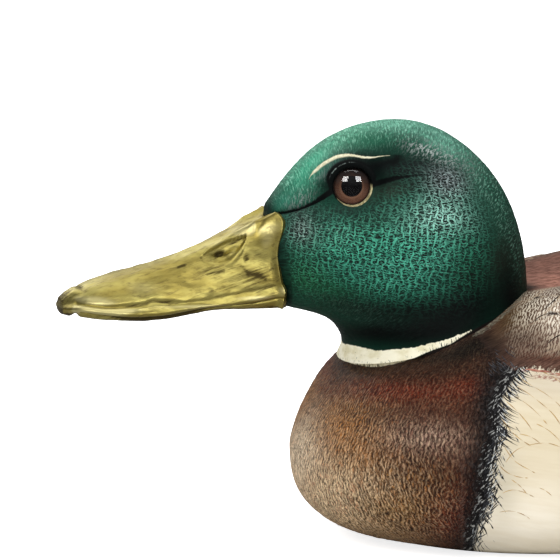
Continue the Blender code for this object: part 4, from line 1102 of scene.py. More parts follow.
def back_plumage(aft, down):
    """The feathers of the back, laid from the rump forwards."""
    coat = Plumage(aft, down)

    def chance(i, j):
        return hashed(i, j, 3, 77)

    # Rump and upper tail coverts.
    for r in range(4, -1, -1):
        for c in range(-1, 6):
            root, shift = 240 + 9 * r, 6 * (r % 2)
            coat.lay((root, 6 + 12 * c + shift), (root + 16, 5 + 11.5 * c + shift), 12.5, 0.35,
                     kind=RUMP, tone=chance(r, c))
    # Lower back and the lesser feathers beside the flank.
    for r in range(15, 7, -1):
        for c in range(0, 7):
            low = (c + 0.5 * (r % 2)) * 13.0 + 1.6 * (chance(r, 60 + c) - 0.5) * (c > 0)
            if 27 < low < 66 or (r > 13 and low > 30):
                continue
            root = 48 + r * 12.0 + 2.0 * (chance(r, 70 + c) - 0.5)
            outer = low > 40
            coat.lay((root, low), (root + 21, low * (1.0 if outer else 0.94)),
                     15.5 if outer else 14.5, 0.55, kind=BACK if r < 14 else RUMP,
                     tone=chance(r, 80 + c) * 0.7)
    # Long wing feathers reach aft over the rump.
    for k in range(4):
        coat.lay((196 - 2 * k, 58 - 1.5 * k), (272 - 10 * k, 18 + 8.2 * k), 10.5, 0.75,
                 kind=WING, tone=chance(k, 40), crown=0.3, slim=0.6)
    # Secondaries with the coloured panel.
    for k in range(6):
        coat.lay((176, 43 + 4.4 * k), (221 - 1.8 * k, 44 + 4.2 * k), 6.4, 0.75,
                 kind=PANEL, tone=chance(k, 50), crown=0.15, slim=0.75)
    # Three long inner feathers over them.
    inner = (((150, 62), (214, 54), 15), ((148, 50), (234, 43), 17), ((146, 38), (240, 30), 18))
    for k, (root, tip, width) in enumerate(inner):
        coat.lay(root, tip, width, 1.0, kind=LONG_INNER, tone=0.25 + 0.25 * k, crown=0.5,
                 slim=0.45)
    # Mantle and shoulder feathers in staggered rows, the front rows over the rear ones.
    for r in range(9, -1, -1):
        for c in range(0, 7):
            jitter, jitter_aft = chance(r, 10 + c) - 0.5, chance(r, 20 + c) - 0.5
            low = (c + 0.5 * (r % 2)) * 14.0 + 2.2 * jitter * (c > 0)
            root = 50 + r * 12.5 + 2.5 * jitter_aft * (c > 0) - 0.10 * abs(low - 45)
            coat.lay((root, low), (root + 22, low * 0.99 + 0.8 * jitter), 16.5, 0.85,
                     tone=chance(r, 30 + c), crown=0.4)
    return coat


def flank_plumage(aft, down):
    """Soft overlapping pockets of long feathers."""
    side = Plumage(aft + 0.35 * (down - 90), down)
    for r in range(6, -1, -1):
        for c in range(0, 3):
            root = 60 + 31 * r + 9 * (c % 2)
            side.lay((root, 72 + 18 * c), (root + 48, 80 + 18 * c), 27, 0.55, crown=0.7, slim=0.4)
    return side


# ------------------------------------------------------------------ body
def arc_from_back(grid):
    """Arc length of each grid point from the back's centre line, in mm; an even ring count."""
    count, around = grid.shape[:2]
    spans = np.linalg.norm(grid - np.roll(grid, 1, 1), axis=2)
    half = around // 2
    left = np.cumsum(np.concatenate([np.zeros((count, 1)), spans[:, 1:half + 1]], 1), 1)
    return np.concatenate([left, left[:, 1:half][:, ::-1]], 1).reshape(-1)


def shoulder_depth(drawn, aft, angle):
    """Sheet distance inside the shoulder feathers' edge, negative outside."""
    distance, side, _ = line_distance(drawn, SHOULDER_EDGE)
    top_facing = angle < np.pi / 2
    depth = signed(distance, -side) * np.where(top_facing, 1, -1)
    depth = np.where((angle < 0.6) & (aft > 60), np.maximum(np.abs(depth), 8), depth)
    depth = np.where((aft < 44) & (depth > 0),
                     np.minimum(depth, (drawn[:, 0] - 462) * 0.6), depth)
    return np.where(~top_facing, -np.abs(depth), depth)


def body_relief(points, drawn, flank, scap, breast, coat, over_back, side):
    """Height of the carving over the plain body, in mm."""
    _, aft, z = points.T
    floor = z < 0.02
    # Shoulder feathers stand over the flank.
    behind_neck = ease(478, 540, drawn[:, 0])
    push = 0.9 * ease(-2.5, 2.5, scap) * behind_neck * (1 - ease(262, 285, aft))
    push -= 0.45 * bell(scap, 2.6, -3.5) * behind_neck * (1 - ease(255, 280, aft))
    push += over_back * (coat.high - 0.35)
    flank_area = ease(4, 26, flank) * (1 - ease(-5, -1, scap)) * (~floor) * ease(8, 20, z)
    flank_area = flank_area * (1 - ease(236, 262, aft))
    push += flank_area * (side.high - 0.2) * 0.75
    # Comb marks.
    wave = fractal(points * [0.5, 0.5, 0.5], 2, 61) - 0.5
    combed = points * [1.05, 1.05, 0.38] + np.stack([wave, wave, 0 * wave], 1) * 1.6
    push += breast * (fractal(combed, 2, 23) - 0.5) * 0.42 * ease(7, 14, aft)
    push += (1 - breast) * (fractal(points * [0.35, 0.12, 0.6], 3, 31) - 0.5) * 0.20
    return np.where(floor, 0, push) * ease(0.0, 3.0, z)


def back_colours(points, drawn, down, scap, coat, over_back):
    """Stored paint of the back, feather by feather."""
    x, aft, _ = points.T
    shoulder = airbrush(drawn, "#5f463b", SHOULDER_SPOTS)
    right = 1 - ease(-6, 2, x)
    nape_low = 8 + 14 * right           # the smooth nape reaches farther down on the right
    patch = (1 - ease(84, 112, aft)) * (1 - ease(0, 7, down - nape_low)) * 0.9
    shoulder = tint(shoulder, patch, airbrush(drawn, "#ab7968", NAPE_SPOTS))
    middle = bell(down, 14) * ease(90, 124, aft)
    shoulder = tint(shoulder, 0.7 * middle, "#3b2c26")
    inner = bell(down, 10, 22) * ease(40, 52, aft) * (1 - ease(80, 120, aft)) * right
    shoulder = tint(shoulder, 0.75 * inner, "#7d5648")
    shoulder = shoulder * (0.80 + 0.45 * coat.tone)[:, None]
    for kind, code, base, swing in ((LONG_INNER, "#64564c", 0.75, 0.5),
                                    (WING, "#2f2621", 0.8, 0.4), (RUMP, "#101113", 0.8, 0.5)):
        toned = lin(code) * (base + swing * coat.tone)[:, None]
        shoulder = np.where((coat.kind == kind)[:, None], toned, shoulder)
    nape = (1 - ease(84, 112, aft)) * (1 - ease(0, 6, down - nape_low))
    cream = ease(3, 12, scap) * ease(506, 528, drawn[:, 0] + 0.4 * (drawn[:, 1] - 315))
    cream = cream * (1 - 0.8 * middle) * (1 - 0.85 * inner)
    cream = cream * (0.55 + 0.45 * blob(drawn, 555, 322, 80, 34))
    cream = cream * np.where(coat.kind == BACK, 1.0, np.where(coat.kind == LONG_INNER, 0.25, 0.0))
    cream = cream * (1 - ease(352, 364, drawn[:, 1]) * (drawn[:, 0] < 620))
    cream = cream * 0.88 * (1 - nape)
    cream = cream * (1 - 0.45 * ease(318, 340, drawn[:, 1]) * (1 - ease(536, 552, drawn[:, 0])))
    fringe = np.where((coat.kind == RUMP)[:, None], lin("#20242a"), lin("#a8947c"))
    fringe = np.where((coat.kind == WING)[:, None], lin("#7d7063"), fringe)
    return {"shoulder": shoulder, "hatchcolour": airbrush(drawn, "#a89781", HATCH_SPOTS),
            "cream": cream, "gap": coat.gap,
            "laid": coat.laid * over_back * ease(50, 66, aft) * (1 - nape),
            "fringecolour": fringe}


def solid_colours(points, down, scap, coat):
    """The black stern and the panel on the secondaries: cover and colour."""
    aft = points[:, 1]
    jag = (fractal(points * [0.25, 0.25, 0.25], 3, 41) - 0.5) * 7
    stern_top = (coat.kind == RUMP) | (coat.laid < 0.5) | (aft > 276)
    patches = [(ease(-0.8, 0.8, aft + jag * 0.6 - 246) * (scap <= 0), "#0e1012"),
               (ease(-0.8, 0.8, aft + jag * 0.6 - 250) * (scap > 0) * stern_top, "#111316")]
    panel = (coat.kind == PANEL) & (scap > -2)
    slanted = aft + 0.4 * (down - 50)
    for start, end, code in PANEL_BARS:
        bar = ease(-0.4, 0.4, slanted - start) * ease(-0.4, 0.4, end - slanted) * panel
        patches.append((bar, code))
    solid = np.zeros(len(points))
    colour = np.tile(lin("#101214"), (len(points), 1))
    for mask, code in patches:
        colour = np.where(mask[:, None] > 0.02, tint(colour, mask, code), colour)
        solid = np.maximum(solid, mask)
    return {"solid": solid, "solidcolour": colour}


def body_paint(points, normals, drawn):
    """Stored paint of breast, flank and neck seat."""
    _, aft, z = points.T
    ring_top, ring_low, past = ring_edges(drawn)
    off_ring = 30.0 * ((aft > 75) | (z < 44)) + past
    distance, _, along = line_distance(drawn, NECK_SEAT)
    seat = np.minimum(distance, 30.0) + 30.0 * ((along < 0.003) | (along > 0.997))
    under = ease(-0.55, -0.9, normals[:, 2])
    paint = tint(airbrush(drawn, "#3a2019", BREAST_SPOTS), 0.3 * under, "#5a3a2a")
    return {"paint": paint, "light": airbrush(drawn, "#8f5f42", LIGHT_SPOTS),
            "warm": airbrush(drawn, "#94562a", WARM_SPOTS),
            "stroke": np.clip(0.12 + soft_mask(drawn, STROKE_SPOTS), 0, 1),
            "rimdark": ease(425, 470, drawn[:, 0]) * ease(330, 350, drawn[:, 1]),
            "ivory": airbrush(drawn, "#ded4be", IVORY_SPOTS),
            "vermic": ease(100, 170, aft) * (1 - ease(240, 262, aft)) * 0.9,
            "seat": seat, "ring_top": ring_top - off_ring, "ring_low": ring_low - off_ring}


def cut_pockets(body):
    """The ballast pocket and the long round-ended tie ring pocket in the floor."""
    bm = bmesh.new()

    def prism(plan, low, high):
        ends = [[bm.verts.new(Vector((x, aft - AFT_ZERO, z)) * MM) for x, aft in plan]
                for z in (low, high)]
        bm.faces.new(ends[0][::-1])
        bm.faces.new(ends[1])
        for i in range(len(plan)):
            j = (i + 1) % len(plan)
            bm.faces.new((ends[0][i], ends[0][j], ends[1][j], ends[1][i]))

    prism([(-POCKET_HALF_WIDTH, POCKET_FRONT), (POCKET_HALF_WIDTH, POCKET_FRONT),
           (POCKET_HALF_WIDTH, POCKET_BACK), (-POCKET_HALF_WIDTH, POCKET_BACK)],
          -5, POCKET_DEPTH)
    plan = []
    end_radius, half_straight, steps = 12, 9, 48
    for j in range(steps):
        angle = 2 * math.pi * j / steps
        straight = math.copysign(half_straight, math.sin(angle + 1e-9))
        plan.append((end_radius * math.cos(angle),
                     TIE_AFT + end_radius * math.sin(angle) + straight))
    prism(plan, -5, 8.0)
    bmesh.ops.recalc_face_normals(bm, faces=bm.faces)
    cut_away(body, bm, "pocket_tool")


def build_body():
    along = stations((0, 0.52, 250), (0.52, 1.0, 152))
    along[0] = 0.0006
    count = 238
    grid = body_rings(along, count)
    points, normals = skin(grid)
    drawn = sheet(points)
    x, aft, z = points.T
    angle = np.tile(np.linspace(0, 2 * np.pi, count, endpoint=False), len(along))
    angle = np.abs(np.where(angle > np.pi, angle - 2 * np.pi, angle))  # 0 on the centre line
    down = arc_from_back(grid)

    distance, side, _ = line_distance(drawn, FLANK)
    flank = np.where(drawn[:, 0] > 470, signed(distance, -side), -np.maximum(distance, 1))
    scap = shoulder_depth(drawn, aft, angle)
    breast = (1 - ease(-14, 2, flank)) * (1 - ease(-2, 4, scap))
    coat = back_plumage(aft, down)
    over_back = ease(0, 6, scap) * ease(48, 66, aft) * (1 - ease(272, 288, aft))
    push = body_relief(points, drawn, flank, scap, breast, coat, over_back,
                       flank_plumage(aft, down))
    carved = points + normals * push[:, None]
    carved[:, 2] = np.maximum(carved[:, 2], 0)

    paint = body_paint(points, normals, drawn)
    paint.update(back_colours(points, drawn, down, scap, coat, over_back))
    paint.update(solid_colours(points, down, scap, coat))
    paint.update(breast=breast, flank=flank, scap=scap,
                 at_plan=flat_map(drawn[:, 0] / SHEET_SCALE, drawn[:, 1] / SHEET_SCALE),
                 at_back=flat_map(aft, down),
                 at_breast=flat_map(55.0 * np.arctan2(x, 62.0 - aft), z))
    order = """paint light warm breast stroke flank scap rimdark ivory vermic shoulder
        hatchcolour cream gap laid fringecolour solid solidcolour seat ring_top ring_low
        at_plan at_back at_breast""".split()
    body = mesh_object("body_carved", carved, grid_faces(len(along), count), body_material(),
                       {key: paint[key] for key in order})
    faces = grid_faces(len(along), count, caps=False)
    build_strokes(BVHTree.FromPolygons(carved.tolist(), faces))
    cut_pockets(body)
    enrol(body, "painted_cedar", "body_upper", "body_lower")


# ------------------------------------------------------------------ bill
def brass_material(name="cast_brass_worked", with_patina_and_painted_light=True):
    mat = Paint(name, roughness=0.35, metallic=1.0)
    big = mat.fleck((0.10, 0.06, 0.16), detail=4.0, rough=0.6)
    small = mat.fleck((0.7, 0.35, 0.9), detail=4.0, rough=0.65)
    streak = mat.fleck((0.9, 0.11, 1.6), turn=(-18, 0, 0), detail=4.0, rough=0.7)
    mat.colour = mat.mix(mat.step(big, 0.35, 0.65), "#b3a75f", "#9b8c48")
    mat.over(mat.step(small, 0.50, 0.70, 0.0, 0.6), "#837540")
    mat.over(mat.step(streak, 0.54, 0.70, 0.0, 0.7), "#695c38")
    rough = mat.plus(0.33, mat.times(small, 0.20))
    if with_patina_and_painted_light:
        patina_and_shade = mat.plus(mat.attr("patina_and_painted_light"), mat.swing(streak, 1.3))
        dark = mat.step(patina_and_shade, 0.26, 0.80)
        # Pale brass where the stored value is below zero: rubbed wear and painted highlights.
        mat.over(mat.step(mat.attr("patina_and_painted_light"), 0.0, -0.45, 0.0, 0.9), "#dcd298")
        # Dark brown where it is high: patina, with painted shade in the slit under the lip and on
        # the nostril hollow's upper side.
        mat.over(mat.times(dark, 0.88), "#463b24")
        rough = mat.plus(rough, mat.times(dark, 0.25))
    mat.set("Roughness", rough)
    return mat.finish((big, 0.12), (small, 0.07), (streak, 0.06))


# The bill's rear margin: sheet y and the sheet x it is drawn back to.
BILL_MARGIN = rows("""205 268, 212.6 277.5, 216.5 282.6, 220 284.8, 223 285.3, 228 284.8,
    233 283.7, 244 280.3, 254 278.8, 265 279.8, 273.5 281.4, 283 283.2, 287.5 285.8, 291 286.8,
    295.6 285.9, 300 285.2, 304 284.5, 312 283.5""")
# Lines along the upper mandible's edge: the lip, the groove over it, the slit under it.
BILL_LIP = curve(rows("""290 291, 275 295, 260 298, 223 305, 180 311.5, 150 314.5, 120 314,
    96 311.5, 78 309, 66 309"""))
BILL_GROOVE = curve(rows("""286 284, 258 290, 222 297.5, 184 303, 155 301, 146 304,
    126 306.4, 107 307, 88 305, 76 303"""))
BILL_SLIT = curve(rows("""289 296, 260 302.5, 223 309, 184 315.8, 150 318.4, 120 317.6,
    96 315, 80 313"""))
# Hand dents: centre x, y, radius, height in mm.
BILL_DENTS = rows("""262 246 6 -.22, 240 276 7 -.20, 256 270 6 .20, 234 288 6 -.18,
    190 280 9 -.15, 208 292 7 .15, 150 286 10 -.15, 120 296 8 .12, 172 262 7 -.12""")
# Streaks of patina: start x, y, end x, y, strength.
BILL_STREAKS = rows("""164 274.5 187 265 .42, 163.7 280 188 271 .40, 176 268 204 259 .35,
    120 281 150 272 .25, 205 276 226 271 .3, 246 272 268 280 .3, 238 262 250 276 .3""")
# Bright places: centre x, y, radii x, y, strength (negative ones are duller). The thin ones along
# the lip and the one at (92, 312) on its front are painted highlights; the other bright ones are
# rubbed wear.
BILL_RUBS_AND_HIGHLIGHTS = rows("""92 302 20 7 .42, 240 228 20 6 .85, 275 222 7 9 -.08, 265 243 6 14 .25,
    283 232 3 22 .3, 283 288 5 6 .35, 215 243 20 4 .3, 136 288 26 8 .20, 262 298 26 2.5 .4,
    200 307 40 2.5 .3, 110 310 24 2.5 .4, 92 312 36 7 .7, 75 303 12 12 .3, 245 270 36 8 -.13,
    212 271 20 7 -.06, 225 285 20 9 -.34, 180 280 18 8 -.16""")


def carve_bill_edge(drawn, z, normals, side, push, patina_and_painted_light):
    """Rolled lip, the groove over it and the mandible line under it."""
    low = z < 76
    push += 0.55 * bell(line_distance(drawn, BILL_LIP)[0], 3.0) * low * side
    distance, _, along = line_distance(drawn, BILL_GROOVE)
    groove = bell(distance, 1.9) * low * side * (0.35 + 0.65 * ease(0.4, 0.6, along))
    push -= 0.50 * groove
    patina_and_painted_light += 0.75 * groove
    # The slit under the lip is cut in and darkened; the darkening is a painted shadow in the gap.
    slit = bell(line_distance(drawn, BILL_SLIT)[0], 1.3) * (z < 70) * (normals[:, 2] < 0.6)
    push -= 0.55 * slit
    patina_and_painted_light += 0.6 * slit


def carve_nostril(drawn, z, side, push, patina_and_painted_light):
    """A leaf-shaped hollow with a raised bean and the hole ahead of it."""
    tip = np.array([200, 258.5])
    axis = np.array([246.5, 235.5]) - tip
    length = np.linalg.norm(axis)
    axis = axis / length
    offset = drawn - tip
    along = (offset @ axis) / length
    across = offset[:, 1] * axis[0] - offset[:, 0] * axis[1]
    arch = np.maximum(np.sin(np.pi * np.clip(along, 0.0, 1.0) ** 0.9), 1e-3)
    outline = np.where(across < 0, -across / 5.6, across / 14.5) / arch ** 0.85
    inside = (along > 0.01) & (along < 0.995)
    hollow = np.where(inside, 1 - ease(0.74, 1.02, outline), 0) * side * (z > 68)
    push -= 1.55 * hollow * (0.25 + 0.75 * ease(0.05, 0.45, along))
    # Darker inside the hollow; the extra darkening on its upper side is painted shade under the
    # edge.
    patina_and_painted_light += 0.34 * hollow * ease(0.1, 0.5, along) + 0.30 * hollow * (across < 0)
    rim = np.where((along > -0.02) & (along < 1.06), bell(outline, 0.16, 1.16), 0)
    rim = rim * side * (z > 68)
    push += 0.38 * rim * np.where(across > 0, ease(0.15, 0.6, along), 0.45)
    bean = tilted_blob(drawn, 232, 252.5, 0.9, 0.45, 7.5, 3.2) * side
    push += 1.15 * bean
    # The raised bean is lightened: a painted highlight.
    patina_and_painted_light -= 0.45 * bean
    hole = tilted_blob(drawn, 219.0, 252.4, 0.97, 0.26, 5.0, 2.2) * side
    push -= 1.5 * hole
    patina_and_painted_light += 1.3 * hole
    pit = blob(drawn, 246.8, 258.6, 2.8, 2.5) * side
    push -= 0.5 * pit
    patina_and_painted_light += 1.0 * pit


def carve_bill_base(drawn, x, z, side, share, push, patina_and_painted_light):
    """A rounded lobe each side, a dip between them, a crease in front and a waist below."""
    push += 0.75 * blob(drawn, 272, 226, 10, 13) * side
    slanted = drawn[:, 0] - 258.5 + 0.25 * (drawn[:, 1] - 222)
    crease = bell(slanted, 2.6) * bell(drawn[:, 1], 9, 224) * side
    push -= 0.45 * crease
    patina_and_painted_light += 0.45 * crease
    push -= 2.0 * bell(x, 3.6) * ease(80, 86, z) * (1 - ease(0.0, 0.35, share))
    waist = blob(drawn, 264, 263, 17, 19) * side
    push -= 0.95 * waist
    patina_and_painted_light += 0.22 * waist + 0.42 * blob(drawn, 256, 280, 26, 10)


def carve_bill_nail(drawn, x, aft, z, normals, push, patina_and_painted_light):
    """The nail at the tip, its rear edge and a notch beside it."""
    push += 0.45 * np.exp(-((x / 4.6) ** 4)) * ease(-52.5, -55.5, aft) * (z > 63.2)
    edge = bell(aft, 0.8, -53.8) * np.exp(-((x / 5.5) ** 4)) * (normals[:, 2] > 0.1)
    push -= 0.30 * edge
    patina_and_painted_light += 0.5 * edge + 0.9 * ease(-55.0, -58.5, aft) * 0.8
    push -= 0.8 * blob(drawn, 75, 315, 3.4, 3.2)


def wear_bill(points, normals, drawn, side, push, patina_and_painted_light):
    """Darker downward faces, patina, hand dents, streaks, and bright places that are partly rubbed
    wear and partly painted highlights.
    """
    # Darker on the downward-facing surfaces, and a brown strip of patina along the lower mandible.
    patina_and_painted_light += 0.55 * ease(-0.35, -0.85, normals[:, 2]) + 0.55 * blob(drawn, 155, 318, 34, 4.0)
    patina_and_painted_light += 0.35 * blob(drawn, 205, 268, 30, 4) * side
    patina_and_painted_light += 0.25 * blob(drawn, 100, 288, 30, 9)
    push += (fractal(points * [0.22, 0.16, 0.26], 3, 51) - 0.5) * 0.42
    push += (value_noise(points * [0.9, 0.5, 0.9], 57) - 0.5) * 0.14
    for cx, cy, radius, height in BILL_DENTS:
        push += height * blob(drawn, cx, cy, radius, radius * 0.8) * side
    for x0, y0, x1, y1, strength in BILL_STREAKS:
        line = curve([(x0, y0), ((x0 + x1) / 2, (y0 + y1) / 2 - 0.8), (x1, y1)], 12)
        distance, _, along = line_distance(drawn, line)
        ends = ease(0.0, 0.1, along) * (1 - ease(0.9, 1.0, along))
        patina_and_painted_light += strength * bell(distance, 1.6) * ends * side
    for *place, strength in BILL_RUBS_AND_HIGHLIGHTS:
        patina_and_painted_light -= strength * blob(drawn, *place) * side


def build_bill():
    along = stations((0, 0.12, 70), (0.12, 0.9, 190), (0.9, 1.0, 60))
    count = 240
    points, normals = skin(bill_rings(along, count))
    share = np.repeat(along, count)
    drawn = sheet(points)
    x, aft, z = np.abs(points[:, 0]), points[:, 1], points[:, 2]
    side = np.clip(np.abs(normals[:, 0]) * 1.5, 0, 1)
    push = np.zeros(len(points))
    patina_and_painted_light = np.zeros(len(points))
    carve_bill_edge(drawn, z, normals, side, push, patina_and_painted_light)
    carve_nostril(drawn, z, side, push, patina_and_painted_light)
    carve_bill_base(drawn, x, z, side, share, push, patina_and_painted_light)
    carve_bill_nail(drawn, x, aft, z, normals, push, patina_and_painted_light)
    wear_bill(points, normals, drawn, side, push, patina_and_painted_light)
    # The rear margin: a smooth flare ending in a rolled rim, drawn back to one sheet line.
    from_base = share * 59.4
    flare = 1.05 + 0.5 * bell(z, 3.2, 67.0) + 0.7 * bell(z, 3.5, 85.0)
    push += flare * bell(from_base, 2.9) * side
    push -= 0.95 * (1 - ease(0.0, 1.1, from_base)) * side
    carved = points + normals * push[:, None]
    first = sheet(carved[:count])
    margin = np.array(BILL_MARGIN)
    wanted = np.interp(first[:, 1], margin[:, 0], margin[:, 1])
    shift = (wanted - first[:, 0]) / (SHEET_SCALE * 0.97)
    shift = shift * ease(2.0, 5.0, np.abs(carved[:count, 0])) * ease(-0.2, 0.5, side[:count])
    shift = np.clip(shift, -3.2, 3.6)
    carved[:, 1] += (1 - ease(0.0, 0.12, share)) * np.tile(shift, len(along))
    carved[:, 2] += 1.25 * bell(carved[:, 1], 11.0, -20.0) * ease(66.5, 62.5, carved[:, 2])
    carved[:, 2] -= ease(-1.0, 3.0, carved[:, 2] - 89.5) * 0.4
    bill = mesh_object("bill_cast", carved, grid_faces(len(along), count), brass_material(),
                       {"patina_and_painted_light": np.clip(patina_and_painted_light, -0.3, 1.4)})
    enrol(bill, "cast_brass", "bill")


# ------------------------------------------------------------------ raised paint strokes
def trace(line, tree):
    """Points and normals where a sheet line falls on the body, up to its first miss."""
    path, normals = [], []
    for x, y in line:
        ray = -LOOK * VIEW_FOCAL + ACROSS * (x - SHEET_MIDDLE) + UPWARD * (SHEET_MIDDLE - y)
        spot_at, normal, _, _ = tree.ray_cast(Vector(VIEWPOINT),
                                              Vector(ray / np.linalg.norm(ray)), 2000.0)
        if spot_at is None or normal.dot(Vector(ray)) > 0 or spot_at[0] < 4 or spot_at[2] < 1.5:
            break
        path.append(np.array(spot_at))
        normals.append(np.array(normal))
    return np.array(path), np.array(normals)


def stroke_piece(name, strokes, tree, material):
    """Thin raised strokes of paint laid along sheet lines, the same on both sides.

    Each stroke (line, width mm, height mm) becomes a closed sliver, pointed at both ends."""
    points, faces = [], []
    for line, width, height in strokes:
        path, normals = trace(line, tree)
        count = len(path)
        if count < 4:
            continue
        step = np.gradient(path, axis=0)
        if np.linalg.norm(step, axis=1).max() > 9.0:
            continue
        step /= np.maximum(np.linalg.norm(step, axis=1), 1e-9)[:, None]
        aside = np.cross(normals, step)
        aside /= np.maximum(np.linalg.norm(aside, axis=1), 1e-9)[:, None]
        share = np.linspace(0, 1, count)
        shape = np.sin(np.pi * np.clip(0.12 + 0.80 * share, 0, 1)) ** 0.7
        shape = shape * (1 - ease(0.55, 1.0, share) * 0.55)
        for _, sign in SIDES:
            flip = np.array([sign, 1, 1])
            start = len(points)
            points.append((path[0] - step[0] * width) * flip)
            for k in range(count):
                here, normal = path[k], normals[k]
                half, up = aside[k] * (width / 2 * shape[k]), height * shape[k]
                for part in (here + normal * up, here + half + normal * 0.02,
                             here - normal * 0.12, here - half + normal * 0.02):
                    points.append(part * flip)
            points.append((path[-1] + step[-1] * width) * flip)
            end = len(points) - 1

            def ring(k, j):
                return start + 1 + 4 * k + j % 4

            for j in range(4):
                faces.append([start, ring(0, j), ring(0, j + 1)])
                faces.append([end, ring(count - 1, j + 1), ring(count - 1, j)])
                for k in range(count - 1):
                    faces.append([ring(k, j), ring(k + 1, j), ring(k + 1, j + 1), ring(k, j + 1)])
    enrol(mesh_object(name, points, faces, material), "painted_cedar")


def stroke_material(name, one, two):
    mat = Paint(name)
    noise = mat.fleck(0.6, detail=3.0)
    mat.colour = mat.mix(mat.step(noise, 0.38, 0.62), one, two)
    mat.set("Specular IOR Level", 0.2)
    mat.set("Roughness", mat.plus(0.5, mat.times(noise, 0.2)))
    return mat.finish((mat.fleck(1.6), 0.04))


def chance(i, j=0):
    return hashed(i, j, 11, 91)


def sweep(x, y, angle, turn, length, count=7):
    """A curved stroke: heading in degrees below level, turning along its length."""
    line = [(x, y)]
    for k in range(count - 1):
        heading = math.radians(angle + turn * k / (count - 1))
        x += math.cos(heading) * length / (count - 1)
        y += math.sin(heading) * length / (count - 1)
        line.append((x, y))
    return line


def flank_edge(y):
    order = np.argsort(FLANK[:, 1])
    return float(np.interp(y, FLANK[order, 1], FLANK[order, 0]))


def flank_edge_strokes():
    """Black hairs and pale dabs along the line between breast and flank."""
    black, pale = [], []
    y, i = 366.0, 0
    while y < 442:                      # upper edge: long black hairs sweeping down and aft
        edge, heading = flank_edge(y), 14 * chance(i, 3)
        black.append((sweep(edge - 4 + 4 * chance(i, 2), y, 58 - heading,
                            -26 - 20 * chance(i, 4), 9 + 17 * chance(i, 1) ** 1.5),
                      0.19 + 0.10 * chance(i, 5), 0.10))
        if chance(i, 6) > 0.45:
            pale.append((sweep(edge - 3 + 6 * chance(i, 7), y + 1.0, 56 - heading, -24,
                               4 + 7 * chance(i, 8)), 0.13 + 0.06 * chance(i, 10), 0.08))
        y += 0.9 + 1.0 * chance(i, 9)
        i += 1
    y = 428.0
    while y < 548:                      # lower edge: short dabs leaning up and aft
        edge = flank_edge(y)
        for rep in range(3):
            black.append((sweep(edge - 6 + 12 * chance(i, 10 + rep), y + 2 * chance(i, 20 + rep),
                                -62 + 50 * (chance(i, 30 + rep) - 0.5), 18,
                                3.0 + 5.5 * chance(i, 40 + rep), 5),
                          0.21 + 0.12 * chance(i, 5), 0.10))
        if chance(i, 49) > 0.2:
            pale.append((sweep(edge - 4 + 9 * chance(i, 50), y,
                               -68 + 50 * (chance(i, 60) - 0.5), 14,
                               2.5 + 4.5 * chance(i, 70), 5), 0.13 + 0.08 * chance(i, 8), 0.10))
        y += 1.25 + 0.8 * chance(i, 9)
        i += 1
    return black, pale


# Feather edges on the front of the flank, and dark outlines on the shoulder.
FLANK_ARCS = [rows(text) for text in (
    "521 379, 534 387, 548 395.5, 562 408, 572 420", "516 386, 529 394, 542 404, 553 414, 562 427",
    "511 394, 524 402, 536 412, 547 424", "507 402, 517 411, 528 424, 534 434",
    "541 371, 553 377, 566 387, 578 400", "503 420, 512 432, 523 441, 531 446",
    "506 462, 514 452, 526 446, 545 443, 560 447", "505 448, 515 461, 526 468, 535 473",
    "500 466, 508 473, 519 477, 528 478", "503 493, 512 490, 523 492, 534 497",
    "500 512, 510 511, 522 514, 530 519", "537 424, 548 430, 558 439, 566 450",
    "520 434, 531 437, 541 444", "512 480, 520 486, 527 494", "540 488, 546 491, 552 496")]
SHOULDER_OUTLINES = [rows(text) for text in (
    "534.5 321, 539 317, 545 314.5, 552 313.5, 560 315.5, 568 320",
    "542 311, 549 305, 555 299.5, 562 293, 570 288", "548 343, 556 337, 565 334, 576 336")]


def flank_lines():
    """Broken ochre lines along the side feathers' edges."""
    ochre = []
    for k, knots in enumerate(FLANK_ARCS):
        start = 0.0
        while start < 0.92:
            end = min(1.0, start + 0.18 + 0.34 * chance(k, int(start * 100)))
            part = spline(knots, np.linspace(start, end, 8))
            ochre.append((part, 0.15 + 0.12 * chance(k, 81 + int(start * 50)), 0.07))
            start = end + 0.03 + 0.06 * chance(k, 200 + int(start * 100))
    for r in range(6):                  # farther aft, three lines to each edge
        for c in range(4):
            x, y = 600 + 118 * r + 30 * (c % 2), 405 + 33 * c
            if x > 1040:
                continue
            for rep in range(3):
                knots = np.array([(x, y), (x + 34, y + 5), (x + 62, y + 17), (x + 78, y + 34)])
                line = curve(knots + [5.0 * rep, 3.4 * rep], 22)
                ochre.append((line, 0.20 + 0.08 * chance(r, 82 + c), 0.07))
    return ochre


def rust_streaks():
    """Rusty streaks under the shoulder feathers."""
    rust = []
    for k in range(46):
        x = 518 + 3.4 * k + 4 * chance(k, 90)
        y = float(np.interp(x, [512, 540, 556, 600, 680], [369.5, 370, 373.5, 382, 391]))
        y += 3.5 * (chance(k, 91) - 0.3)
        rust.append((sweep(x, y, 4 + 12 * (chance(k, 92) - 0.3), 6, 5 + 9 * chance(k, 93), 6),
                     0.24 + 0.15 * chance(k, 94), 0.08))
    return rust


def grey_touches():
    """Faint grey touches over the dark front of the flank's edge."""
    return [(sweep(486 + 26 * chance(k, 300), 345 + 30 * chance(k, 301),
                   30 + 30 * chance(k, 302), -20, 4 + 6 * chance(k, 303), 5),
             0.14 + 0.10 * chance(k, 304), 0.06) for k in range(26)]


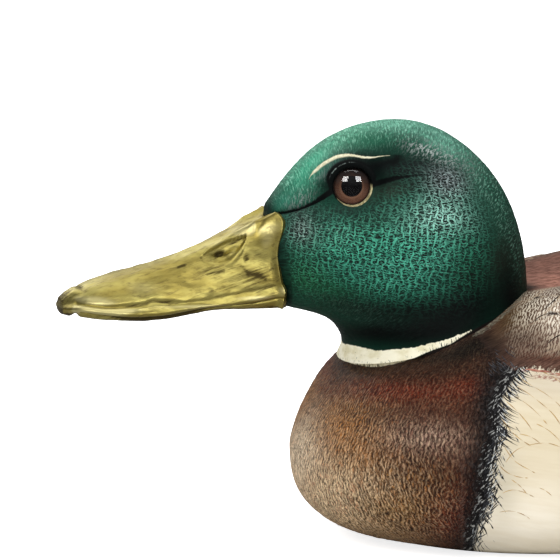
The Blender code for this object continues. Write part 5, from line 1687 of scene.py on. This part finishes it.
def build_strokes(tree):
    black, pale = flank_edge_strokes()
    outlines = [(curve(knots, 14), 0.42, 0.12) for knots in SHOULDER_OUTLINES]
    for name, strokes, paint, one, two in (
            ("shoulder_lines_dark", outlines, "lines_dark", "#120c09", "#2a1d16"),
            ("shoulder_touches_grey", grey_touches(), "touches_grey", "#4b4c50", "#33343a"),
            ("flank_hair_black", black, "hair_black", "#0d0d0f", "#2b2c30"),
            ("flank_dabs_pale", pale, "dabs_pale", "#dfe1de", "#a9b0b4"),
            ("flank_lines_ochre", flank_lines(), "lines_ochre", "#c0a06c", "#a48459"),
            ("shoulder_streaks_rust", rust_streaks(), "streaks_rust", "#8a4a3f", "#b07a68")):
        stroke_piece(name, strokes, tree, stroke_material(paint, one, two))


# ------------------------------------------------------------------ turned pieces
def turned(name, origin, axis, profile, material, sides):
    """Solid of revolution: profile [(height mm, radius mm)] along axis from origin."""
    axis = Vector(axis).normalized()
    turn = axis.to_track_quat("Z", "Y").to_matrix()
    points, faces, rings = [], [], []
    origin = Vector(origin)
    for height, radius in profile:
        centre = origin + axis * height
        if radius <= 1e-6:
            rings.append([len(points)])
            points.append(tuple(centre))
            continue
        rings.append(list(range(len(points), len(points) + sides)))
        for j in range(sides):
            angle = 2 * math.pi * j / sides
            around = turn @ Vector((math.cos(angle), math.sin(angle), 0))
            points.append(tuple(centre + around * radius))
    for low, high in zip(rings, rings[1:]):
        for j in range(sides):
            i = (j + 1) % sides
            if len(low) == 1:
                faces.append([low[0], high[i], high[j]])
            elif len(high) == 1:
                faces.append([low[j], low[i], high[0]])
            else:
                faces.append([low[j], low[i], high[i], high[j]])
    made = mesh_object(name, points, faces, material)
    made.data.set_sharp_from_angle(angle=math.radians(38))
    return made


def wire_ring(name, centre, normal, major, minor, material, steps, sides):
    """A torus of wire about a centre."""
    normal = Vector(normal).normalized()
    turn = normal.to_track_quat("Z", "Y").to_matrix()
    points, faces = [], []
    for j in range(steps):
        angle = 2 * math.pi * j / steps
        out = turn @ Vector((math.cos(angle), math.sin(angle), 0))
        for k in range(sides):
            section = 2 * math.pi * k / sides
            points.append(tuple(Vector(centre) + out * (major + minor * math.cos(section))
                                + normal * (minor * math.sin(section))))
    for j in range(steps):
        i = (j + 1) % steps
        for k in range(sides):
            m = (k + 1) % sides
            faces.append([j * sides + k, i * sides + k, i * sides + m, j * sides + m])
    return mesh_object(name, points, faces, material)


# ------------------------------------------------------------------ eyes
def glass_material():
    mat = Paint("eye_glass_clear")
    clear = mat.node("ShaderNodeBsdfTransparent")
    gloss = mat.node("ShaderNodeBsdfGlossy", {"Roughness": 0.03})
    fresnel = mat.node("ShaderNodeFresnel", {"IOR": 1.5}).outputs[0]
    faint = mat.step(mat.fleck(0.3), 0.0, 1.0, 0.92, 1.0)
    facing = mat.minus(1.0, mat.node("ShaderNodeNewGeometry").outputs["Backfacing"])
    # What lies below is hardly mirrored.
    upper = mat.step(mat.split(mat.coordinates("Reflection"))[2], 0.10, 0.32, 0.22, 2.1)
    share = mat.times(mat.times(mat.times(fresnel, upper), faint), facing)
    mat.surface(mat.node("ShaderNodeMixShader",
                         {0: share, 1: clear.outputs[0], 2: gloss.outputs[0]}))
    return mat.material


def iris_material(centre):
    mat = Paint("iris_enamel_painted", roughness=0.35)
    offset = mat.vector("SUBTRACT", mat.coordinates(), tuple(centre))[0]
    radius = mat.times(mat.vector("LENGTH", offset)["Value"], 1000.0)
    fibres = mat.fleck(0.9, detail=4.0, rough=0.6)
    # The iris is darker at the top: a painted shadow of the upper lid. The paler inner ring is laid
    # only in the lower part, out of that shadow.
    low = mat.step(mat.times(mat.split(offset)[2], 1000.0), 4.0, -3.5)
    mat.colour = mat.mix(low, "#1c1310", "#5c3d2e")
    mat.over(mat.step(fibres, 0.35, 0.7, 0.0, 0.3), "#3a241b")
    mat.over(mat.times(mat.step(radius, 3.6, 2.9), mat.times(low, 0.5)), "#7d5c47")
    mat.over(mat.step(radius, 4.0, 4.75, 0.0, 0.9), "#120a07")
    mat.over(mat.step(radius, 2.6, 2.85, 0.8, 0.0), "#1d120e")
    mat.set("Specular IOR Level", 0.1)
    return mat.finish()


def pupil_material():
    mat = Paint("pupil_enamel_black", roughness=0.4)
    mat.set("Specular IOR Level", 0.05)
    mat.colour = mat.mix(mat.step(mat.fleck(0.8), 0.4, 0.6), "#050506", "#0b0b0d")
    return mat.finish()


def putty_material():
    mat = Paint("eye_putty_painted", roughness=0.55)
    tone = mat.step(mat.fleck(1.2, detail=3.0), 0.4, 0.7)
    mat.colour = mat.mix(tone, "#0c1010", "#2a2f28")
    return mat.finish((mat.fleck(1.0, detail=3.0), 0.1))


def use_material(node, material):
    """Give a CAD piece that stays as it is one material."""
    mesh = bpy.data.objects[node].data
    mesh.materials.clear()
    mesh.materials.append(material)


def build_eyes():
    glass, pupil, putty = glass_material(), pupil_material(), putty_material()
    lens_radius, iris_top = 5.0, -1.75
    lens = [(-1.6, 0.0), (-1.6, 4.6), (-1.45, 4.9), (-1.1, lens_radius)]
    lens += [(-0.2 + 2.35 * math.sin(angle), lens_radius * math.cos(angle))
             for angle in np.radians(np.linspace(0, 86, 22))]
    lens += [(2.15, 0.0)]
    iris_profile = [(-2.4, 0), (-2.4, 4.85), (iris_top, 4.85), (iris_top, 0)]
    pupil_profile = [(-1.72, 0), (-1.72, 2.6), (-1.66, 2.7), (-1.62, 2.6), (-1.62, 0)]
    for side, sign in SIDES:
        axis = eye_axis(sign)
        centre = np.array(EYE_AT) * [sign, 1, 1]
        made = turned(f"eye_lens_{side}", centre, axis, lens, glass, 72)
        enrol(made, "eye_glass", f"eye_glass_{side}")
        iris = iris_material(to_world(centre + axis * iris_top)[0])
        made = turned(f"eye_iris_disc_{side}", centre, axis, iris_profile, iris, 72)
        enrol(made, "iris_enamel", f"eye_iris_{side}")
        made = turned(f"eye_pupil_disc_{side}", centre, axis, pupil_profile, pupil, 64)
        enrol(made, "pupil_enamel", f"eye_pupil_{side}")
        use_material(f"eye_putty_{side}", putty)


# ------------------------------------------------------------------ tail
# Tail board stations: aft, half width, height, half thickness.
TAIL = rows("""273 15 42.4 2.2, 284 16.5 43 2.1, 296 20 44.2 1.9, 306 23 46 1.6,
    314 23.5 47.8 1.2, 319 18 49 .9, 321.5 9 49.6 .6""")
TAIL_FEATHER = 5.2              # width of one tail feather


def tail_material():
    mat = Paint("painted_tail_feathers")
    mat.colour = mat.mix(mat.attr("split"), "#e6e0d0", "#5c5148")
    barbs = mat.wave(mat.mm((0.8, 0.8, 0.4), turn=(0, 0, 35)), scale=0.7, distortion=2.5)
    mat.over(mat.step(barbs, 0.5, 0.95, 0.0, 0.35), "#857a6b")
    mat.over(mat.step(mat.fleck(0.3, detail=3.0), 0.45, 0.75, 0.0, 0.5), "#efeade")
    return mat.finish((barbs, 0.12))


def curl_material():
    mat = Paint("painted_curl_black", roughness=0.36)
    noise = mat.fleck((1.5, 0.3, 0.3), detail=4.0, rough=0.7)
    mat.colour = mat.mix(mat.step(noise, 0.4, 0.65), "#0a0c0d", "#16302b")
    return mat.finish((noise, 0.15))


def build_tail_board():
    count, around = 110, 220
    angle = np.linspace(0, 2 * np.pi, around, endpoint=False)
    cos, sin = np.cos(angle), np.sin(angle)
    rings = []
    for aft, half_width, height, half_thick in curve(TAIL, count):
        x = half_width * np.sign(cos) * np.abs(cos) ** 0.6
        fan = np.abs(x) / TAIL_FEATHER
        fan = fan - np.floor(fan)
        ledge = (0.32 * (1 - fan) - 0.16) * ease(292, 300, aft)
        scallop = -2.2 * (1 - np.cos(2 * np.pi * fan)) * 0.5 * ease(312, 321, aft)
        rounded = aft - 0.004 * x * x * ease(296, 320, aft) + scallop * 0.5
        z = height + half_thick * sin - 0.006 * x * x + np.where(sin > 0, ledge, 0)
        rings.append(np.stack([x, rounded, z], 1))
    points = np.array(rings).reshape(-1, 3)
    # Dark share of each feather, from the middle one outwards, with its edge and shaft.
    wide = np.abs(points[:, 0]) / TAIL_FEATHER
    fan = wide - np.floor(wide)
    tip = ease(308, 320, points[:, 1])
    split = 0.85 * (1 - ease(0.80, 1.02, wide)) * (1 - 0.45 * tip)
    split += 0.55 * (wide >= 1) * (wide < 2) * (1 - ease(0.45, 0.75, fan)) * (1 - tip)
    split += 0.28 * (wide >= 2) * (1 - ease(0.25, 0.6, fan)) * (1 - tip)
    split += 0.35 * bell(fan, 0.07) + 0.30 * bell(fan, 0.05, 0.45)
    tail = mesh_object("tail_carved", points, grid_faces(count, around), tail_material(),
                       {"split": np.clip(split, 0, 1)})
    tail.data.set_sharp_from_angle(angle=math.radians(50))
    enrol(tail, "painted_tail", "tail_board")


def build_curl(side, sign, material):
    """A grooved feather curling up and forward over the tail."""
    root = np.array([sign * 5.5, 272.0, 50.0])
    path = [root, root + [0, 3.5, 4.0]]
    centre = root + np.array([0, 4.0, 15.5])
    for angle in np.radians(np.linspace(-52, 205, 13)):
        radius = 8.6 - 2.4 * (angle + 0.9) / 4.5
        path.append(centre + np.array([sign * (0.9 * (angle + 0.9)),
                                       radius * math.cos(angle) * 1.05,
                                       radius * math.sin(angle)]))
    last = len(path) - 3
    # Half width and half thickness.
    sizes = [(1.7, 1.2), (1.9, 1.2)]
    sizes += [(2.2 * (1 - 0.72 * (k / last) ** 2), 0.75 - 0.3 * k / last)
              for k in range(last + 1)]
    count, around = 120, 40
    path, sizes = curve(path, count), curve(sizes, count)
    angle = np.linspace(0, 2 * np.pi, around, endpoint=False)
    cos, sin = np.cos(angle), np.sin(angle)
    groove = 1 - 0.30 * bell(cos, 0.18) * np.where(sin > 0, 1, 0.4)
    rings = []
    for k in range(count):
        heading = path[min(k + 1, count - 1)] - path[max(k - 1, 0)]
        heading /= np.linalg.norm(heading)
        wide = np.array([1.0, 0, 0]) - heading * heading[0]
        wide /= np.linalg.norm(wide)
        thin = np.cross(heading, wide)
        share, close = k / (count - 1), 1.0
        if share > 0.97:                # the tip rounds off
            close = math.sqrt(max(1 - ((share - 0.97) / 0.03) ** 2, 0.0))
        close = max(close, 0.12)
        rings.append(path[k] + np.outer(cos * sizes[k, 0] * close, wide)
                     + np.outer(sin * sizes[k, 1] * groove * close, thin))
    curl = mesh_object(f"tail_curl_carved_{side}", rings, grid_faces(count, around), material)
    enrol(curl, "painted_curl", f"tail_curl_{side}")


def build_tail():
    build_tail_board()
    black = curl_material()
    for side, sign in SIDES:
        build_curl(side, sign, black)


# ------------------------------------------------------------------ fittings
def wood_material():
    mat = Paint("birch_turned", roughness=0.62)
    rings = mat.wave(mat.mm((0.35, 0.35, 0.05)), scale=0.8, distortion=4.0, detail=3.0,
                     detail_scale=1.2)
    pores = mat.fleck((2.5, 2.5, 0.3), detail=3.0, rough=0.7)
    mat.colour = mat.mix(mat.step(rings, 0.2, 0.9), "#c9a271", "#8d6236")
    mat.over(mat.step(pores, 0.58, 0.72, 0.0, 0.5), "#5e3d20")
    return mat.finish((pores, 0.1))


def steel_material():
    mat = Paint("zinc_steel_worn", roughness=0.35, metallic=1.0)
    noise = mat.fleck(0.3, detail=4.0, rough=0.7)
    mat.colour = mat.mix(mat.step(noise, 0.35, 0.7), "#b9bab6", "#83837e")
    mat.set("Roughness", mat.step(noise, 0.3, 0.7, 0.25, 0.5))
    return mat.finish((mat.fleck(2), 0.03))


def lead_material():
    mat = Paint("ballast_metal_cast", roughness=0.6, metallic=0.75)
    noise = mat.fleck(0.12, detail=5.0, rough=0.65)
    pits = mat.voronoi(mat.mm(0.5), feature="F1")["Distance"]
    scratch = mat.fleck((1.4, 0.08, 1.0), turn=(0, 0, 17), detail=3.0, rough=0.7)
    mat.colour = mat.mix(mat.step(noise, 0.3, 0.7), "#7b7f82", "#56595c")
    mat.over(mat.step(scratch, 0.62, 0.7, 0.0, 0.6), "#a3a6a8")
    mat.set("Roughness", mat.step(noise, 0.3, 0.7, 0.45, 0.7))
    return mat.finish((pits, 0.15), (scratch, 0.06))


def build_tie(brass):
    """The tie ring, lying flat, and the screw eye that holds it."""
    ring = wire_ring("tie_ring_wire", (0, TIE_AFT + TIE_RING_RADIUS, TIE_HEIGHT), (0, 0, 1),
                     TIE_RING_RADIUS, 0.8, brass, steps=96, sides=24)
    enrol(ring, "cast_brass", "line_tie_ring", body="tie_ring")
    loop = wire_ring("tie_eye_loop", (0, TIE_AFT, TIE_HEIGHT), (1, 0, 0), 2.7, 0.9, brass,
                     steps=64, sides=20)
    enrol(loop, "cast_brass", "line_tie_eye")
    thread = [(0, 0.0), (0, 0.95)]
    for k in range(9):
        thread += [(0.5 + k * 0.75, 1.12), (0.85 + k * 0.75, 0.85)]
    thread += [(7.4, 0.4), (7.6, 0)]
    enrol(turned("tie_eye_shank", (0, TIE_AFT, 6.3), (0, 0, 1), thread, brass, 28), "cast_brass")


def build_screws(brass):
    """Countersunk ballast screws with slotted heads."""
    profile = [(12.8, 0.0), (11.9, 1.3), (2.9, 1.6), (0.75, 3.45), (0.15, 3.5), (0.0, 3.35),
               (0.0, 0.0)]
    slot_size = (0.008, 0.0009, 0.0022, 1)      # metres
    for k, (x, aft) in enumerate(((9, 120), (-9, 120), (9, 206), (-9, 206)), 1):
        head = (x, aft, 0.4)
        screw = turned(f"ballast_screw_head_{k}", head, (0, 0, 1), profile, brass, 48)
        place = Matrix.Translation(to_world(head)[0])
        place = place @ Matrix.Rotation(math.radians(25 + 40 * k), 4, "Z")
        bm = bmesh.new()
        bmesh.ops.create_cube(bm, size=1, matrix=place @ Matrix.Diagonal(slot_size))
        cut_away(screw, bm, "slot_tool")
        enrol(screw, "cast_brass", f"ballast_screw_{k}")


def build_fittings():
    brass = brass_material("cast_brass_fitting", with_patina_and_painted_light=False)
    build_tie(brass)
    build_screws(brass)
    kept = (
        (brass, "bill_pin"),
        (steel_material(), "neck_bolt neck_washer neck_nut eye_wire_left eye_wire_right"),
        (wood_material(), "neck_dowel_front neck_dowel_rear shell_dowel_front_left "
                          "shell_dowel_front_right shell_dowel_rear_left shell_dowel_rear_right"),
        (lead_material(), "ballast_weight"))
    for material, nodes in kept:
        for node in nodes.split():
            use_material(node, material)


# ------------------------------------------------------------------ studio
def build_world():
    """A white world to the camera, dim in reflections, moderate as light."""
    light_level = 0.42
    world = bpy.data.worlds.new("studio")
    bpy.context.scene.world = world
    world.use_nodes = True
    tree = world.node_tree
    background = tree.nodes["Background"].inputs
    background["Color"].default_value = (1, 1, 1, 1)
    background["Strength"].default_value = light_level
    rays = tree.nodes.new("ShaderNodeLightPath").outputs
    unseen, level = tree.nodes.new("ShaderNodeMix"), tree.nodes.new("ShaderNodeMix")
    tree.links.new(rays["Is Glossy Ray"], unseen.inputs[0])
    unseen.inputs[2].default_value = light_level
    unseen.inputs[3].default_value = 0.10
    tree.links.new(rays["Is Camera Ray"], level.inputs[0])
    tree.links.new(unseen.outputs[0], level.inputs[2])
    level.inputs[3].default_value = 1.0
    tree.links.new(level.outputs[0], background["Strength"])


def paper_material():
    """White paper: lit up to white for the camera, a grey flag in reflections."""
    mat = Paint("studio_paper", roughness=0.9)
    mat.colour = mat.mix(mat.step(mat.fleck(0.002), 0.3, 0.7), "#fafafa", "#f7f7f7")
    mat.set("Specular IOR Level", 0.1)
    plain = mat.shader.outputs[0]
    glow = mat.node("ShaderNodeEmission", {"Strength": 0.80}).outputs[0]
    lit = mat.node("ShaderNodeAddShader", {0: plain, 1: glow}).outputs[0]
    dull = mat.node("ShaderNodeBsdfDiffuse", {"Color": (0.38, 0.38, 0.38, 1)}).outputs[0]
    rays = mat.node("ShaderNodeLightPath").outputs
    unseen = mat.node("ShaderNodeMixShader", {0: rays["Is Glossy Ray"], 1: plain, 2: dull})
    mat.surface(mat.node("ShaderNodeMixShader",
                         {0: rays["Is Camera Ray"], 1: unseen.outputs[0], 2: lit}))
    return mat.finish()


def build_floor():
    mesh = bpy.data.meshes.new("studio_floor")
    count, radius = 64, 14.0
    mesh.from_pydata([(radius * math.cos(2 * math.pi * k / count),
                       radius * math.sin(2 * math.pi * k / count), 0) for k in range(count)],
                     [], [list(range(count))])
    mesh.materials.append(paper_material())
    floor = bpy.data.objects.new("studio_floor", mesh)
    bpy.context.scene.collection.objects.link(floor)


def soft_light(name, place, size, power, colour=(1, 1, 1)):
    """A square panel aimed at the middle of the bird; metres and watts."""
    light = bpy.data.lights.new(name, "AREA")
    light.shape = "RECTANGLE"
    light.size = size
    light.size_y = size
    light.energy = power
    light.color = colour
    panel = bpy.data.objects.new(name, light)
    panel.location = place
    aim = Vector((0, -0.06, 0.06)) - Vector(place)
    panel.rotation_euler = aim.to_track_quat("-Z", "Y").to_euler()
    bpy.context.scene.collection.objects.link(panel)


def build_camera():
    scene = bpy.context.scene
    lens = bpy.data.cameras.new("camera")
    lens.sensor_width = 36
    lens.lens = VIEW_FOCAL / (2 * SHEET_MIDDLE) * 36
    lens.clip_end = 50
    camera = bpy.data.objects.new("camera", lens)
    facing = Matrix((ACROSS, UPWARD, LOOK)).transposed().to_4x4()
    camera.matrix_world = Matrix.Translation(to_world(VIEWPOINT)[0]) @ facing
    scene.collection.objects.link(camera)
    scene.camera = camera


def build_studio():
    build_world()
    build_floor()
    soft_light("key_window", place=(1.136, -0.90, 0.81), size=0.54, power=9.0,
               colour=(1, 0.985, 0.965))
    soft_light("fill_window", place=(1.404, 0.20, 0.80), size=0.54, power=8.0,
               colour=(0.975, 0.985, 1))
    soft_light("top_panel", place=(-0.1, 0.0, 1.5), size=1.4, power=11)
    soft_light("rim_panel", place=(-1.1, -0.5, 0.8), size=0.9, power=6)
    build_camera()
    view = bpy.context.scene.view_settings
    view.view_transform = "Standard"
    view.look = "None"
    view.exposure = 0.0


build_body()
build_head()
build_bill()
build_eyes()
build_tail()
build_fittings()
build_studio()
